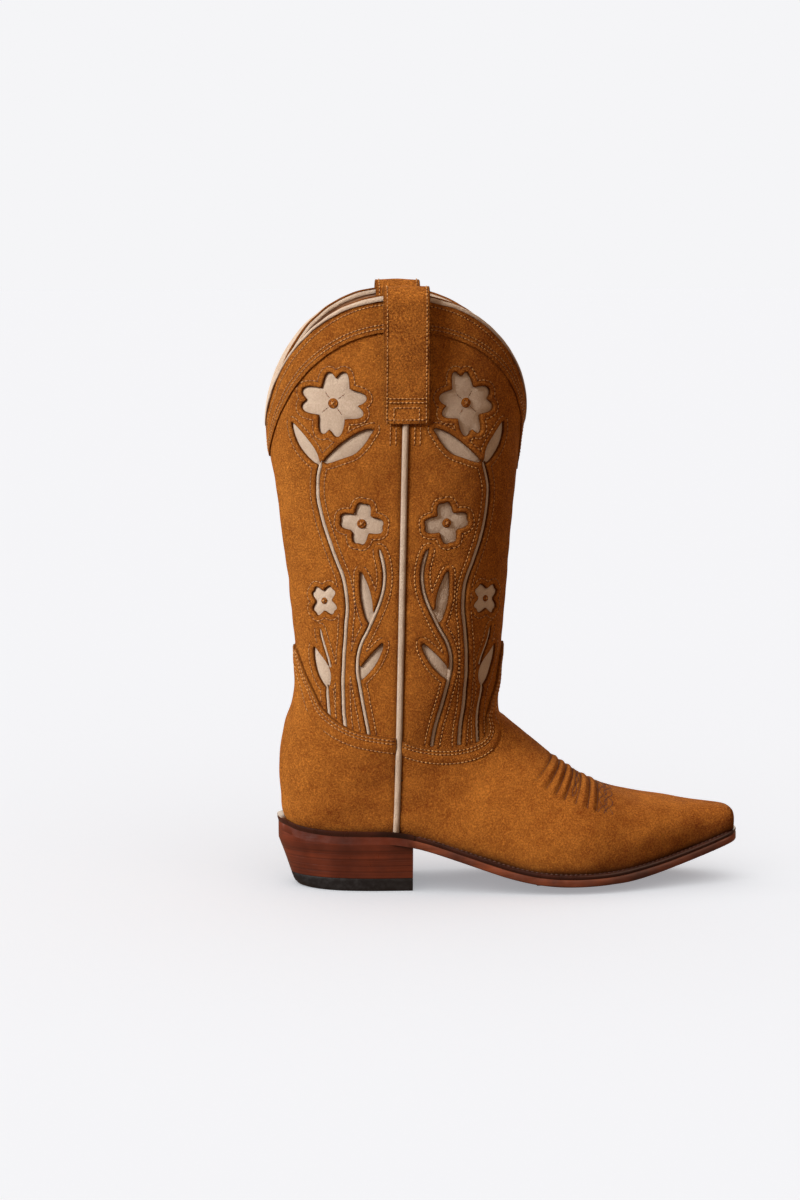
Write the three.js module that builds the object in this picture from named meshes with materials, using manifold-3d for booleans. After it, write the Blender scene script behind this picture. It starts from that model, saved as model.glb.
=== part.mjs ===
// A pull-on western boot for the right foot, built in millimetres.
// +X points to the toe, +Z is up, and the outer side of the foot faces -Y.
// The origin is the centre of the heel cap's ground face.
//
// The upper is leather wrapped on a last. The last is a row of ribs: each rib is a closed
// superellipse in a plane that stands square to the XZ plane, from a point on the front rail
// (shin, throat, instep, toe) to a point on the back rail (calf, heel, under the sole).
// Every piece of the upper is a sheet laid on the last at its own depth.

import * as THREE from 'three';
import { mergeVertices } from 'three/addons/utils/BufferGeometryUtils.js';
import Module from 'manifold-3d';

const wasm = await Module();
wasm.setup();

// ---------- driving dimensions ----------

// Ribs of the last: front rail [x, z], back rail [x, z], half width, sideways shift of the
// centre, and how square the front and the back half of the superellipse are.
const RIBS = [
  { front: [105.0, 372], back: [-54.0, 372], half: 51.0, shift: 0, square: [2.25, 2.25] },
  { front: [104.3, 304], back: [-53.6, 304], half: 50.8, shift: 0, square: [2.25, 2.25] },
  { front: [101.6, 275], back: [-52.2, 275], half: 49.6, shift: 0, square: [2.25, 2.25] },
  { front: [98.6, 245], back: [-48.0, 245], half: 47.4, shift: 0, square: [2.25, 2.25] },
  { front: [95.2, 205], back: [-42.6, 205], half: 45.2, shift: 0, square: [2.25, 2.25] },
  { front: [92.2, 165], back: [-38.8, 165], half: 42.6, shift: 0, square: [2.25, 2.3] },
  { front: [90.0, 136], back: [-36.6, 136], half: 40.2, shift: 0, square: [2.2, 2.4] },
  { front: [87.6, 118], back: [-37.2, 117], half: 38.8, shift: 0, square: [2.1, 2.5] },
  { front: [88.6, 108], back: [-42.4, 100], half: 38.0, shift: 0, square: [2.05, 2.6] },
  { front: [92.6, 104], back: [-45.6, 80], half: 36.8, shift: 0, square: [2.0, 2.7] },
  { front: [97.0, 100], back: [-44.9, 60], half: 35.2, shift: 0, square: [2.0, 2.8] },
  { front: [102.0, 96], back: [-40.0, 40], half: 34.0, shift: 0, square: [2.0, 2.9] },
  { front: [108.0, 91], back: [-16.0, 25], half: 33.2, shift: 0, square: [2.0, 2.9] },
  { front: [115.0, 85], back: [22.0, 22], half: 33.4, shift: -0.5, square: [2.0, 2.9] },
  { front: [124.0, 78], back: [62.0, 9], half: 36.0, shift: -1.5, square: [2.0, 2.8] },
  { front: [136.0, 69.5], back: [100.0, -4], half: 39.8, shift: -2.0, square: [2.0, 2.8] },
  { front: [152.0, 60.5], back: [138.0, -6], half: 41.2, shift: -0.8, square: [2.1, 2.8] },
  { front: [174.0, 53.6], back: [168.0, -2], half: 36.0, shift: 1.2, square: [2.2, 2.8] },
  { front: [200.0, 49.4], back: [198.0, 8], half: 26.2, shift: 2.8, square: [2.4, 2.8] },
  { front: [220.0, 46.4], back: [219.5, 17], half: 17.6, shift: 3.4, square: [2.6, 2.8] },
  { front: [231.0, 44.6], back: [231.0, 24], half: 12.6, shift: 3.6, square: [2.8, 2.8] },
  { front: [235.0, 42.0], back: [235.0, 27.5], half: 9.6, shift: 3.6, square: [2.8, 2.8] },
  { front: [236.2, 38.6], back: [236.2, 31], half: 6.0, shift: 3.6, square: [2.8, 2.8] },
];
const LAST_RIB = RIBS.length - 1;
const TOE_DOME = { from: 215, over: 21 };

// Every sheet is faceted along the same rows and columns, so that sheets at different depths
// stay parallel. The rows are rib numbers, packed closer round the throat.
const COLUMNS = 24;
const ROWS = [
  0, 1, 1.7, 2.5, 4, 5.5, 6.5, 7, 7.4, 7.8, 8.3, 9, 10, 11.2, 12.5, 14, 15, 16, 17, 18, 19.5, 21, 22,
];
// How many ribs the inner core of a hollow sheet stands above the sheet's edge.
const CORE_ABOVE = 2;
// Half size of the large blocks that split the boot, and half their width across it.
const FAR = 400;
const ACROSS = 80;

// Depths of the sheets, measured outwards from the face of the last: [inside, outside].
const SHAFT_DEPTH = [-1.6, 0];
const VAMP_DEPTH = [0.5, 2.0];
const COLLAR_DEPTH = [0.3, 1.6];
const INLAY_DEPTH = [-3.0, -2.2];
const LINING_DEPTH = [-4.5, -3.5];
const STIFFENER_DEPTH = [-2.9, 0];
const BINDING_DEPTH = [-4.6, 2.1];
const PIPING_DEPTH = [-1.6, 0.9];
const BINDING_HEIGHT = 3;
const GAP = 0.3;

// Side seam: its x at the feather line and at the mouth, and the width of its piping.
const SEAM_FOOT = { x: 24.4, z: 39 };
const SEAM_MOUTH = { x: 30.0, z: 372 };
const PIPING_WIDTH = 3.6;

// Edges of the upper, as heights at the front, the back and the sides. The powers set how full
// the curve between them is.
const MOUTH = { front: 291, back: 289, side: 368, backPower: 1.15 };
const COLLAR_EDGE = { front: 258, back: 268, side: 347, frontPower: 0.75, backPower: 1.3 };
// Top edge of the vamp and the counter, as [degrees from the front, height].
const VAMP_EDGE = [
  [0, 152], [12, 147], [16, 132], [22, 121], [30, 110], [36, 100], [44, 94.5], [54, 91], [66, 90],
  [78, 92.5], [90, 98], [104, 102], [116, 107], [130, 114.5], [139, 122], [148, 132.5], [156, 142],
  [163, 150], [172, 147], [180, 151],
];
const SHAFT_OVERLAP = 9;
const SHAFT_END = { low: 84, high: 100 };

// Feather line: where the upper meets the sole, seen from the side, as [x, z].
const FEATHER = [
  [-60, 45], [-44, 42.5], [-35, 40.2], [-17, 38.6], [4, 38.3], [24, 37.7], [42, 33.9], [64, 26.8],
  [80, 21.4], [96, 16.6], [113, 13.3], [133, 12], [160, 13.2], [185, 17.5], [210, 23.8],
  [236, 31.7], [250, 36],
];
// Feather line seen from above, from the middle of the heel to the toe, as [x, y].
const PLAN_OUTER = [
  [-41.4, -3], [-39.6, -9.5], [-34.5, -17], [-26, -23.2], [-12, -28], [8, -30.4], [38, -31],
  [75, -34.5], [109, -39.6], [133, -40.9], [156, -38], [185, -28.4], [210, -18], [227, -10.8],
  [234, -6.4], [236.4, -1],
];
const PLAN_INNER = [
  [-41.4, 3], [-39.6, 9.5], [-34.5, 17], [-26, 23.2], [-12, 28], [8, 30.2], [38, 29.9],
  [75, 31.5], [109, 35.6], [133, 38.4], [156, 38.3], [185, 32.7], [210, 24.4], [227, 17.7],
  [234, 13.6], [236.4, 8],
];

// The flower drawing, in millimetres: u is the distance along the leather from the side seam, z
// the height. Each flower has four petals, with notches between them and a cleft in each.
const BIG_FLOWER = {
  size: 'large', u: 44.2, z: 304, radius: 18.6, notch: 8.2, cleft: 15.6, dot: 3.0, turn: 0, points: 24,
};
const MID_FLOWER = {
  size: 'middle', u: 25.6, z: 231, radius: 12.6, notch: 4.6, cleft: 11.6, dot: 2.8, turn: 8, points: 16,
};
const SMALL_FLOWER = {
  size: 'small', u: 49.2, z: 182.7, radius: 8.6, notch: 3.4, cleft: 8.0, dot: 1.9, turn: 38, points: 16,
};
const PETAL = { tipFrom: 0.99, power: 0.35 };
const DOT_CORNERS = 4;
const LEAVES = [
  [[72, 291], [69.8, 283], [62.5, 273], [53, 266], [53.1, 273], [57, 279], [63, 286]],
  [[19.5, 289], [23, 283], [27.5, 275], [34, 271], [50, 266.5], [43, 275.5], [33.8, 283]],
  [[25.3, 201.5], [25.6, 191], [24.2, 179.5], [20.8, 169.5], [18, 175], [18.7, 184], [20.6, 192]],
  [[11, 157], [12, 152], [16, 143.3], [26, 133], [26.4, 139.5], [22, 145.5], [16.5, 152.7]],
  [[55.5, 153], [54.5, 143], [51, 135], [46.5, 129], [43.6, 130.5], [42.7, 137], [47, 144]],
];
const STEMS = [
  {
    width: 2.2,
    path: [
      [51, 268], [53.7, 256], [52.6, 241], [44.6, 217], [35.4, 193], [34, 172], [35.3, 141],
      [34.8, 116], [33, 104],
    ],
  },
  {
    width: 2.0,
    path: [
      [14.2, 216], [10.7, 200.5], [13, 184], [18.7, 168], [25.6, 153], [26, 137], [22.6, 118],
      [18.6, 98],
    ],
  },
];
// How much the drawing spreads on the front panel, from its foot upwards.
const SPREAD = { from: 140, over: 160, limit: 1.2, foot: 1.19, loss: 0.33, power: 1.6 };
// Depths between which the drawing is cut out of the shaft.
const CUT_DEPTH = [-4, 3];

// Sole stack, as thicknesses.
const WELT_THICKNESS = 2.7;
const OUTSOLE_THICKNESS = 4.6;
const SOLE_MARGIN = 3.2;
const HEEL_LIP = { extra: 3.4, along: 0.2 };
const INSOLE_THICKNESS = 2.4;
const SOCK_THICKNESS = 1.0;
const TREAD_DROP = 4.4;
const TREAD_FLAT = { from: 112, to: 162, half: 20 };
const TREAD_FADE = { along: 40, across: 20 };
const WELT_DROP = 0.2;
const WELT_INSET = 6;
const INSOLE_INSET = 9;
const WELT_CUT = { above: 5, below: 8 };
const SHANK = { from: -12, to: 104, half: 7.5, thickness: 1.2, lift: 0.8, slotTop: 3, steps: 8 };
const PEG = { along: [52, 62, 72, 82], aside: 26, radius: 1.0, proud: 0.3, holeAbove: 2 };
const OUTSOLE_TOP = -WELT_THICKNESS - GAP;

// Heel block. The cap is rubber, and the lifts above it are stacked leather.
const HEEL = {
  breast: 34.5, halfWidth: 31.2, alongPlan: 0.36, margin: 0.6, seat: 30.2, cap: 8.2, lifts: 5,
  stackTop: 28.2, blockTop: 34.2, taperBack: 7.0, taperSide: 3.4, steps: 9,
};
// Places along the boot where the heel's roof follows the underside of the sole.
const HEEL_ROOF = { from: -60, to: 40, foot: -20, at: [-44, -35, -26, -17, 4, 14, 24, 29, 34] };
const NAIL = { radius: 1.1, bottom: 3, top: 33.5, places: [[-26, -11], [-26, 11], [14, -17], [14, 17]] };

// Stiffeners, lining and seam piping.
const STIFFENER_TOP = 82;
const TOE_PUFF_FROM = 192;
const HEEL_COUNTER_TO = 8;
const LINING_LAST_RIB = 19;
const PIPING_TOP = 322;
const PIPING_FOOT = 36;
const INLAY_TOP = 328;
const INLAY_FOOT = 102;
const INLAY_UNDER_COLLAR = 8;
const INLAY_FROM_SEAM = 6;
const INLAY_FROM_MIDDLE = 5;
const DOT_DEPTH = [-1.8, -0.3];

// Pull straps: where the loop lies along the boot, and its centre line as [y, z] on the inner
// side, from the sewn end outside to the sewn end inside.
const STRAP = {
  x: 29.2, width: 28, thickness: 2.0, steps: 16,
  path: [
    [52.9, 292], [53.6, 302], [55.4, 320], [57.4, 342], [57.9, 359], [57.3, 367.6], [54, 372], [49.4, 373],
    [45, 371.8], [41.8, 367.4], [41, 358], [41.4, 342], [42.2, 324], [43, 306],
  ],
};

const QUARTERS = [
  { name: 'front_outer', side: -1, end: 1 },
  { name: 'back_outer', side: -1, end: -1 },
  { name: 'front_inner', side: 1, end: 1 },
  { name: 'back_inner', side: 1, end: -1 },
];

// ---------- materials ----------

function finish(name, color, roughness, metalness = 0) {
  return new THREE.MeshStandardMaterial({ name, color, roughness, metalness });
}
const suede = finish('tan_suede', 0xb0702d, 0.95);
const creamSuede = finish('cream_suede', 0xdcc6ae, 0.95);
const liningLeather = finish('lining_leather', 0xb08c6e, 0.7);
const insoleLeather = finish('insole_leather', 0xc79f74, 0.8);
const soleLeather = finish('sole_leather', 0x613020, 0.45);
const weltLeather = finish('welt_leather', 0x3c1c12, 0.5);
const stackedLeather = finish('stacked_leather', 0x55261a, 0.35);
const blackRubber = finish('black_rubber', 0x201e1f, 0.7);
const springSteel = finish('spring_steel', 0x8d9094, 0.4, 1);
const nailBrass = finish('nail_brass', 0xb08d4a, 0.4, 1);
const pegWood = finish('peg_wood', 0xd8b78a, 0.8);
const cork = finish('cork', 0xb58a5a, 0.95);
const stiffBoard = finish('stiff_board', 0xb0895c, 0.8);

// ---------- the last ----------

const frontRail = railThrough((rib) => new THREE.Vector3(rib.front[0], rib.shift, rib.front[1]));
const backRail = railThrough((rib) => new THREE.Vector3(rib.back[0], rib.shift, rib.back[1]));
const girthRail = railThrough((rib) => new THREE.Vector3(rib.half, rib.square[0], rib.square[1]));

function railThrough(pick) {
  return new THREE.CatmullRomCurve3(RIBS.map(pick), false, 'catmullrom', 0.5);
}

// The rib at a fractional rib number, as its centre, its in-plane half axis and its girth.
function ribAt(number) {
  const t = THREE.MathUtils.clamp(number / LAST_RIB, 0, 1);
  const front = frontRail.getPoint(t);
  const back = backRail.getPoint(t);
  const girth = girthRail.getPoint(t);
  const centre = front.clone().add(back).multiplyScalar(0.5);
  const axis = front.clone().sub(back).multiplyScalar(0.5);
  const reach = Math.hypot(axis.x, axis.z);
  const toe = THREE.MathUtils.clamp((centre.x - TOE_DOME.from) / TOE_DOME.over, 0, 1);
  const square = [girth.y, girth.z];
  return { centre, reach, half: girth.x, square, x: axis.x / reach, z: axis.z / reach, toe };
}

// A point on a rib. Angle 0 is the front rail, 180 degrees the back rail, and positive angles
// are on the inner side of the foot.
function pointOn(rib, angle, depth) {
  const cosine = Math.cos(angle);
  const sine = Math.sin(angle);
  const power = 2 / (cosine >= 0 ? rib.square[0] : rib.square[1]);
  const along = (rib.reach + depth) * Math.sign(cosine) * Math.abs(cosine) ** power;
  const across = (rib.half + depth) * Math.sign(sine) * Math.abs(sine) ** power;
  return new THREE.Vector3(
    rib.centre.x + depth * rib.toe + rib.x * along,
    rib.centre.y + across,
    rib.centre.z + rib.z * along,
  );
}

// The rib number whose point at this angle is at this height.
function ribAtHeight(angle, height) {
  return bisect(0, LAST_RIB, (number) => pointOn(ribAt(number), angle, 0).z > height);
}

function bisect(low, high, goesOn) {
  let [from, to] = [low, high];
  for (let step = 0; step < 24; step += 1) {
    const middle = (from + to) / 2;
    if (goesOn(middle)) from = middle;
    else to = middle;
  }
  return (from + to) / 2;
}

function interpolate(table, x) {
  const last = table.length - 1;
  let index = 1;
  while (index < last && table[index][0] < x) index += 1;
  const [x0, y0] = table[index - 1];
  const [x1, y1] = table[index];
  return THREE.MathUtils.mapLinear(x, x0, x1, y0, y1);
}

const featherCurve = new THREE.SplineCurve(FEATHER.map(([x, z]) => new THREE.Vector2(x, z)));
const featherLine = featherCurve.getPoints(6 * (FEATHER.length - 1)).map(({ x, y }) => [x, y]);
const featherHeight = (x) => interpolate(featherLine, x);
const seamX = (z) => THREE.MathUtils.mapLinear(z, SEAM_FOOT.z, SEAM_MOUTH.z, SEAM_FOOT.x, SEAM_MOUTH.x);

// ---------- edges of the upper, as heights round the boot ----------

function mouthHeight(angle) {
  const rise = Math.abs(Math.sin(angle));
  if (Math.cos(angle) > 0) return THREE.MathUtils.lerp(MOUTH.front, MOUTH.side, rise);
  return THREE.MathUtils.lerp(MOUTH.back, MOUTH.side, rise ** MOUTH.backPower);
}

function collarEdgeHeight(angle) {
  const rise = Math.abs(Math.sin(angle));
  if (Math.cos(angle) > 0) {
    return THREE.MathUtils.lerp(COLLAR_EDGE.front, COLLAR_EDGE.side, rise ** COLLAR_EDGE.frontPower);
  }
  return THREE.MathUtils.lerp(COLLAR_EDGE.back, COLLAR_EDGE.side, rise ** COLLAR_EDGE.backPower);
}

function vampEdgeHeight(angle) {
  return interpolate(VAMP_EDGE, Math.abs(THREE.MathUtils.radToDeg(angle)));
}

function shaftEndHeight(angle) {
  return THREE.MathUtils.clamp(vampEdgeHeight(angle) - SHAFT_OVERLAP, SHAFT_END.low, SHAFT_END.high);
}

// ---------- turning shapes into solids ----------

// The closed solid of a geometry. A bend that mirrors a geometry turns its faces inwards, so
// the order of the corners is reversed when the enclosed volume comes out negative.
function solidOf(geometry) {
  const bare = geometry.clone();
  bare.deleteAttribute('normal');
  bare.deleteAttribute('uv');
  const merged = mergeVertices(bare, 1e-4);
  const corners = new Uint32Array(withoutCollapsed(merged.index.array));
  const places = new Float32Array(merged.attributes.position.array);
  if (enclosedVolume(places, corners) < 0) corners.reverse();
  return new wasm.Manifold(new wasm.Mesh({ numProp: 3, vertProperties: places, triVerts: corners }));
}

// Triangles whose corners have run together are left out.
function withoutCollapsed(index) {
  const kept = [];
  for (let start = 0; start < index.length; start += 3) {
    const [a, b, c] = index.slice(start, start + 3);
    if (a !== b && b !== c && c !== a) kept.push(a, b, c);
  }
  return kept;
}

function enclosedVolume(places, corners) {
  const [a, b, c] = [new THREE.Vector3(), new THREE.Vector3(), new THREE.Vector3()];
  let volume = 0;
  for (let index = 0; index < corners.length; index += 3) {
    a.fromArray(places, 3 * corners[index]);
    b.fromArray(places, 3 * corners[index + 1]);
    c.fromArray(places, 3 * corners[index + 2]);
    volume += a.dot(b.cross(c)) / 6;
  }
  return volume;
}

function geometryOf(solid) {
  const mesh = solid.getMesh();
  const geometry = new THREE.BufferGeometry();
  geometry.setAttribute('position', new THREE.BufferAttribute(mesh.vertProperties, 3));
  geometry.setIndex(new THREE.BufferAttribute(mesh.triVerts, 1));
  geometry.computeVertexNormals();
  return geometry;
}

// Moves every vertex of a geometry by a rule.
function bend(geometry, rule) {
  const position = geometry.attributes.position;
  const vertex = new THREE.Vector3();
  for (let index = 0; index < position.count; index += 1) {
    vertex.fromBufferAttribute(position, index);
    const moved = rule(vertex);
    position.setXYZ(index, moved.x, moved.y, moved.z);
  }
  return geometry;
}

// A closed band of leather round the whole last, between two edges given as rib numbers by
// angle. It is a lathe ring: radius 1 becomes the inside of the band and radius 2 the outside.
function band([inside, outside], topEdge, bottomEdge) {
  const profile = [
    ...ROWS.map((row) => new THREE.Vector2(2, row)),
    ...ROWS.toReversed().map((row) => new THREE.Vector2(1, row)),
    new THREE.Vector2(2, 0),
  ];
  const depthOf = (radius) => THREE.MathUtils.lerp(inside, outside, radius - 1);
  return onLast(profile, topEdge, bottomEdge, depthOf);
}

// The whole last filled in at one depth, from a top edge down to the tip of the toe.
function core(depth, topEdge) {
  const profile = [
    new THREE.Vector2(0, 0),
    ...ROWS.map((row) => new THREE.Vector2(1, row)),
    new THREE.Vector2(0, LAST_RIB),
  ];
  return onLast(profile, topEdge, () => LAST_RIB, () => depth);
}

// Lathes a profile [reach, rib number] and lays it on the last. Rows beyond an edge gather on
// the edge, and a point on the lathe's axis goes to the middle of its rib.
function onLast(profile, topEdge, bottomEdge, depthOf) {
  const ring = new THREE.LatheGeometry(profile, COLUMNS);
  return solidOf(bend(ring, (vertex) => {
    const angle = Math.atan2(vertex.z, vertex.x);
    const radius = Math.hypot(vertex.x, vertex.z);
    if (radius < 0.5) return ribAt(Math.max(vertex.y, topEdge(0))).centre;
    const number = THREE.MathUtils.clamp(vertex.y, topEdge(angle), bottomEdge(angle));
    return pointOn(ribAt(number), angle, depthOf(radius));
  }));
}

// A wrapped sheet that also closes over the tip of the toe.
function shell([inside, outside], topEdge) {
  const above = (angle) => Math.max(topEdge(angle) - CORE_ABOVE, 0);
  return core(outside, topEdge).subtract(core(inside, above));
}

const edgeAt = (heightRule, lift = 0) => (angle) => ribAtHeight(angle, heightRule(angle) + lift);

// A slab that spans the whole width of the boot, from an outline in the side view [x, z].
function sideSlab(outline, from = -ACROSS, to = ACROSS) {
  const shape = new THREE.Shape(outline.map(([x, z]) => new THREE.Vector2(x, z)));
  const geometry = new THREE.ExtrudeGeometry(shape, { depth: to - from, bevelEnabled: false });
  geometry.rotateX(Math.PI / 2);
  geometry.translate(0, to, 0);
  return solidOf(geometry);
}

const frontOfSeam = sideSlab([
  [seamX(-FAR) + PIPING_WIDTH / 2 + GAP, -FAR], [FAR, -FAR],
  [FAR, FAR], [seamX(FAR) + PIPING_WIDTH / 2 + GAP, FAR],
]);
const backOfSeam = sideSlab([
  [-FAR, -FAR], [seamX(-FAR) - PIPING_WIDTH / 2 - GAP, -FAR],
  [seamX(FAR) - PIPING_WIDTH / 2 - GAP, FAR], [-FAR, FAR],
]);
const onSeam = sideSlab([
  [seamX(-FAR) - PIPING_WIDTH / 2, -FAR], [seamX(-FAR) + PIPING_WIDTH / 2, -FAR],
  [seamX(FAR) + PIPING_WIDTH / 2, FAR], [seamX(FAR) - PIPING_WIDTH / 2, FAR],
]);

const boxOutline = (from, to) => [[from, -FAR], [to, -FAR], [to, FAR], [from, FAR]];

function belowFeather(lift) {
  const edge = featherLine.map(([x, z]) => [x, z + lift]);
  return sideSlab([[edge[0][0], -FAR], [edge.at(-1)[0], -FAR], ...edge.reverse()]);
}
const underUpper = belowFeather(GAP);

// ---------- the flower drawing ----------

// One quarter of the shaft carries one drawing. It is laid out in millimetres: u is the
// distance along the leather from the side seam, z the height. The four quarters are mirrored,
// and the front ones are spread to follow the wider front panel.
function frontSpread(z) {
  const rise = THREE.MathUtils.clamp((z - SPREAD.from) / SPREAD.over, 0, SPREAD.limit);
  return SPREAD.foot - SPREAD.loss * rise ** SPREAD.power;
}

// Laying a point of the drawing on the last: side is -1 outer or 1 inner, end 1 front or -1 back.
function onShaft(u, z, depth, side, end) {
  const reach = end > 0 ? u * frontSpread(z) : u;
  let number = ribAtHeight(side * Math.PI / 2, z);
  let angle = 0;
  for (let pass = 0; pass < 2; pass += 1) {
    const rib = ribAt(number);
    const seam = bisect(0, Math.PI, (turn) => pointOn(rib, turn, 0).x > seamX(z));
    angle = side * (seam - end * angleForArc(rib, seam, end, reach));
    number = ribAtHeight(angle, z);
  }
  return pointOn(ribAt(number), angle, depth);
}

// How far to turn from the seam for a given length of leather.
function angleForArc(rib, seam, end, length) {
  const step = Math.PI / 180;
  let walked = 0;
  let turned = 0;
  let before = pointOn(rib, seam, 0);
  while (turned < Math.PI) {
    const after = pointOn(rib, seam - end * (turned + step), 0);
    const hop = after.distanceTo(before);
    if (walked + hop >= length) return turned + step * (length - walked) / hop;
    walked += hop;
    turned += step;
    before = after;
  }
  return turned;
}

// Outline of a flower: four petals, each with two lobes round a cleft.
function flowerShape({ u, z, radius, notch, cleft, turn, points }) {
  const outline = [];
  for (let index = 0; index < points; index += 1) {
    const angle = (index / points) * 2 * Math.PI;
    const towardsPetal = Math.abs(Math.cos(2 * angle));
    const tip = towardsPetal > PETAL.tipFrom ? cleft : radius;
    const reach = THREE.MathUtils.lerp(notch, tip, towardsPetal ** PETAL.power);
    const bearing = angle + THREE.MathUtils.degToRad(turn);
    outline.push(new THREE.Vector2(u + reach * Math.cos(bearing), z + reach * Math.sin(bearing)));
  }
  return new THREE.Shape(outline);
}

function leafShape(edge) {
  return new THREE.Shape(edge.map(([u, z]) => new THREE.Vector2(u, z)));
}

function stemShape({ width, path }) {
  const centre = new THREE.CatmullRomCurve3(path.map(([u, z]) => new THREE.Vector3(u, z, 0)));
  const left = [];
  const right = [];
  const steps = path.length;
  for (let step = 0; step <= steps; step += 1) {
    const point = centre.getPoint(step / steps);
    const tangent = centre.getTangent(step / steps);
    left.push(new THREE.Vector2(point.x - tangent.y * width / 2, point.y + tangent.x * width / 2));
    right.unshift(new THREE.Vector2(point.x + tangent.y * width / 2, point.y - tangent.x * width / 2));
  }
  return new THREE.Shape([...left, ...right]);
}

// A flat shape of the drawing, raised between two depths and laid on the shaft.
function laidOnShaft(shape, [inside, outside], { side, end }) {
  const plate = new THREE.ExtrudeGeometry(shape, { depth: outside - inside, bevelEnabled: false });
  return solidOf(bend(plate, (vertex) => onShaft(vertex.x, vertex.y, inside + vertex.z, side, end)));
}

// ---------- the sole ----------

const planOuter = planThrough(PLAN_OUTER);
const planInner = planThrough(PLAN_INNER);

function planThrough(points) {
  return new THREE.CatmullRomCurve3(points.map(([x, y]) => new THREE.Vector3(x, y, 0)));
}

// A point of the sole's outline, moved outwards by a margin. Side is -1 outer or 1 inner.
function outlinePoint(along, side, margin) {
  const curve = side < 0 ? planOuter : planInner;
  const point = curve.getPoint(along);
  const tangent = curve.getTangent(along);
  const lip = margin > 0 ? HEEL_LIP.extra * (1 - THREE.MathUtils.smoothstep(along, 0, HEEL_LIP.along)) : 0;
  const reach = margin + lip;
  return new THREE.Vector3(point.x - side * tangent.y * reach, point.y + side * tangent.x * reach, 0);
}

// A plate with the sole's outline between two surfaces given as heights by (x, y).
function solePlate(margin, topHeight, bottomHeight, rows = 25, columns = 3) {
  const block = new THREE.BoxGeometry(1, 1, 1, rows, columns, 1);
  return solidOf(bend(block, (vertex) => {
    const along = vertex.x + 0.5;
    const outer = outlinePoint(along, -1, margin);
    const inner = outlinePoint(along, 1, margin);
    const place = outer.lerp(inner, vertex.y + 0.5);
    place.z = vertex.z > 0 ? topHeight(place.x, place.y) : bottomHeight(place.x, place.y);
    return place;
  }));
}

const atFeather = (lift) => (x) => featherHeight(x) + lift;

// The outsole's underside sinks to a flat tread under the ball of the foot.
function treadHeight(x, y) {
  const edge = featherHeight(x) + OUTSOLE_TOP - OUTSOLE_THICKNESS;
  const beyond = Math.max(TREAD_FLAT.from - x, x - TREAD_FLAT.to, 0) / TREAD_FADE.along;
  const across = Math.max(Math.abs(y) - TREAD_FLAT.half, 0) / TREAD_FADE.across;
  if (beyond === 0 && across === 0) return 0;
  const drop = TREAD_DROP * Math.max(1 - beyond, 0) ** 2 * Math.max(1 - across, 0);
  return Math.max(edge - drop, 0);
}

function upright(radius, { x, y }, bottom, top) {
  const pin = new THREE.CylinderGeometry(radius, radius, top - bottom, 8);
  pin.rotateX(Math.PI / 2);
  pin.translate(x, y, (top + bottom) / 2);
  return solidOf(pin);
}

// A layer of the heel block between two heights. The block narrows towards the ground and its
// breast stays upright.
function heelLayer(bottom, top) {
  const outline = [];
  for (const side of [-1, 1]) {
    const half = [new THREE.Vector2(HEEL.breast, side * HEEL.halfWidth)];
    for (let step = HEEL.steps; step >= 0; step -= 1) {
      const point = outlinePoint(step / HEEL.steps * HEEL.alongPlan, side, HEEL.margin);
      half.push(new THREE.Vector2(point.x, point.y));
    }
    outline.push(...(side < 0 ? half : half.reverse()));
  }
  const shape = new THREE.Shape(outline);
  const plate = new THREE.ExtrudeGeometry(shape, { depth: top - bottom, bevelEnabled: false });
  plate.translate(0, 0, bottom);
  return solidOf(bend(plate, (vertex) => {
    const down = 1 - vertex.z / HEEL.seat;
    const towardsBack = (HEEL.breast - vertex.x) / (HEEL.breast - PLAN_OUTER[0][0]);
    vertex.x += HEEL.taperBack * down * towardsBack;
    vertex.y *= 1 - HEEL.taperSide / HEEL.halfWidth * down;
    return vertex;
  }));
}

// The loop of a pull strap: up the outside from its sewn end, over the mouth and down inside.
function strapLoop(side) {
  const centre = new THREE.CatmullRomCurve3(STRAP.path.map(([y, z]) => new THREE.Vector3(y, z, 0)));
  const outside = [];
  const inside = [];
  for (let step = 0; step <= STRAP.steps; step += 1) {
    const point = centre.getPoint(step / STRAP.steps);
    const tangent = centre.getTangent(step / STRAP.steps);
    const across = new THREE.Vector2(-tangent.y, tangent.x).multiplyScalar(STRAP.thickness / 2);
    outside.push(new THREE.Vector2(point.x, point.y).add(across));
    inside.unshift(new THREE.Vector2(point.x, point.y).sub(across));
  }
  const shape = new THREE.Shape([...outside, ...inside]);
  const left = STRAP.x - STRAP.width / 2;
  const strip = new THREE.ExtrudeGeometry(shape, { depth: STRAP.width, bevelEnabled: false });
  return solidOf(bend(strip, ({ x, y, z }) => new THREE.Vector3(left + z, side * x, y)));
}

// ---------- assembly ----------

const boot = new THREE.Group();

function addPiece(name, solid, material) {
  const mesh = new THREE.Mesh(geometryOf(solid), material.clone());
  mesh.name = name;
  boot.add(mesh);
}

const heelNails = NAIL.places.map(([x, y], index) => ({
  name: `heel_nail_${index + 1}`,
  pin: upright(NAIL.radius, { x, y }, NAIL.bottom, NAIL.top),
  hole: upright(NAIL.radius + GAP, { x, y }, NAIL.bottom - GAP, NAIL.top + GAP),
}));

addSole();
addHeel();
addFoot();
addShaft();
addFlowers();
addPullStraps();

export default boot;

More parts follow.
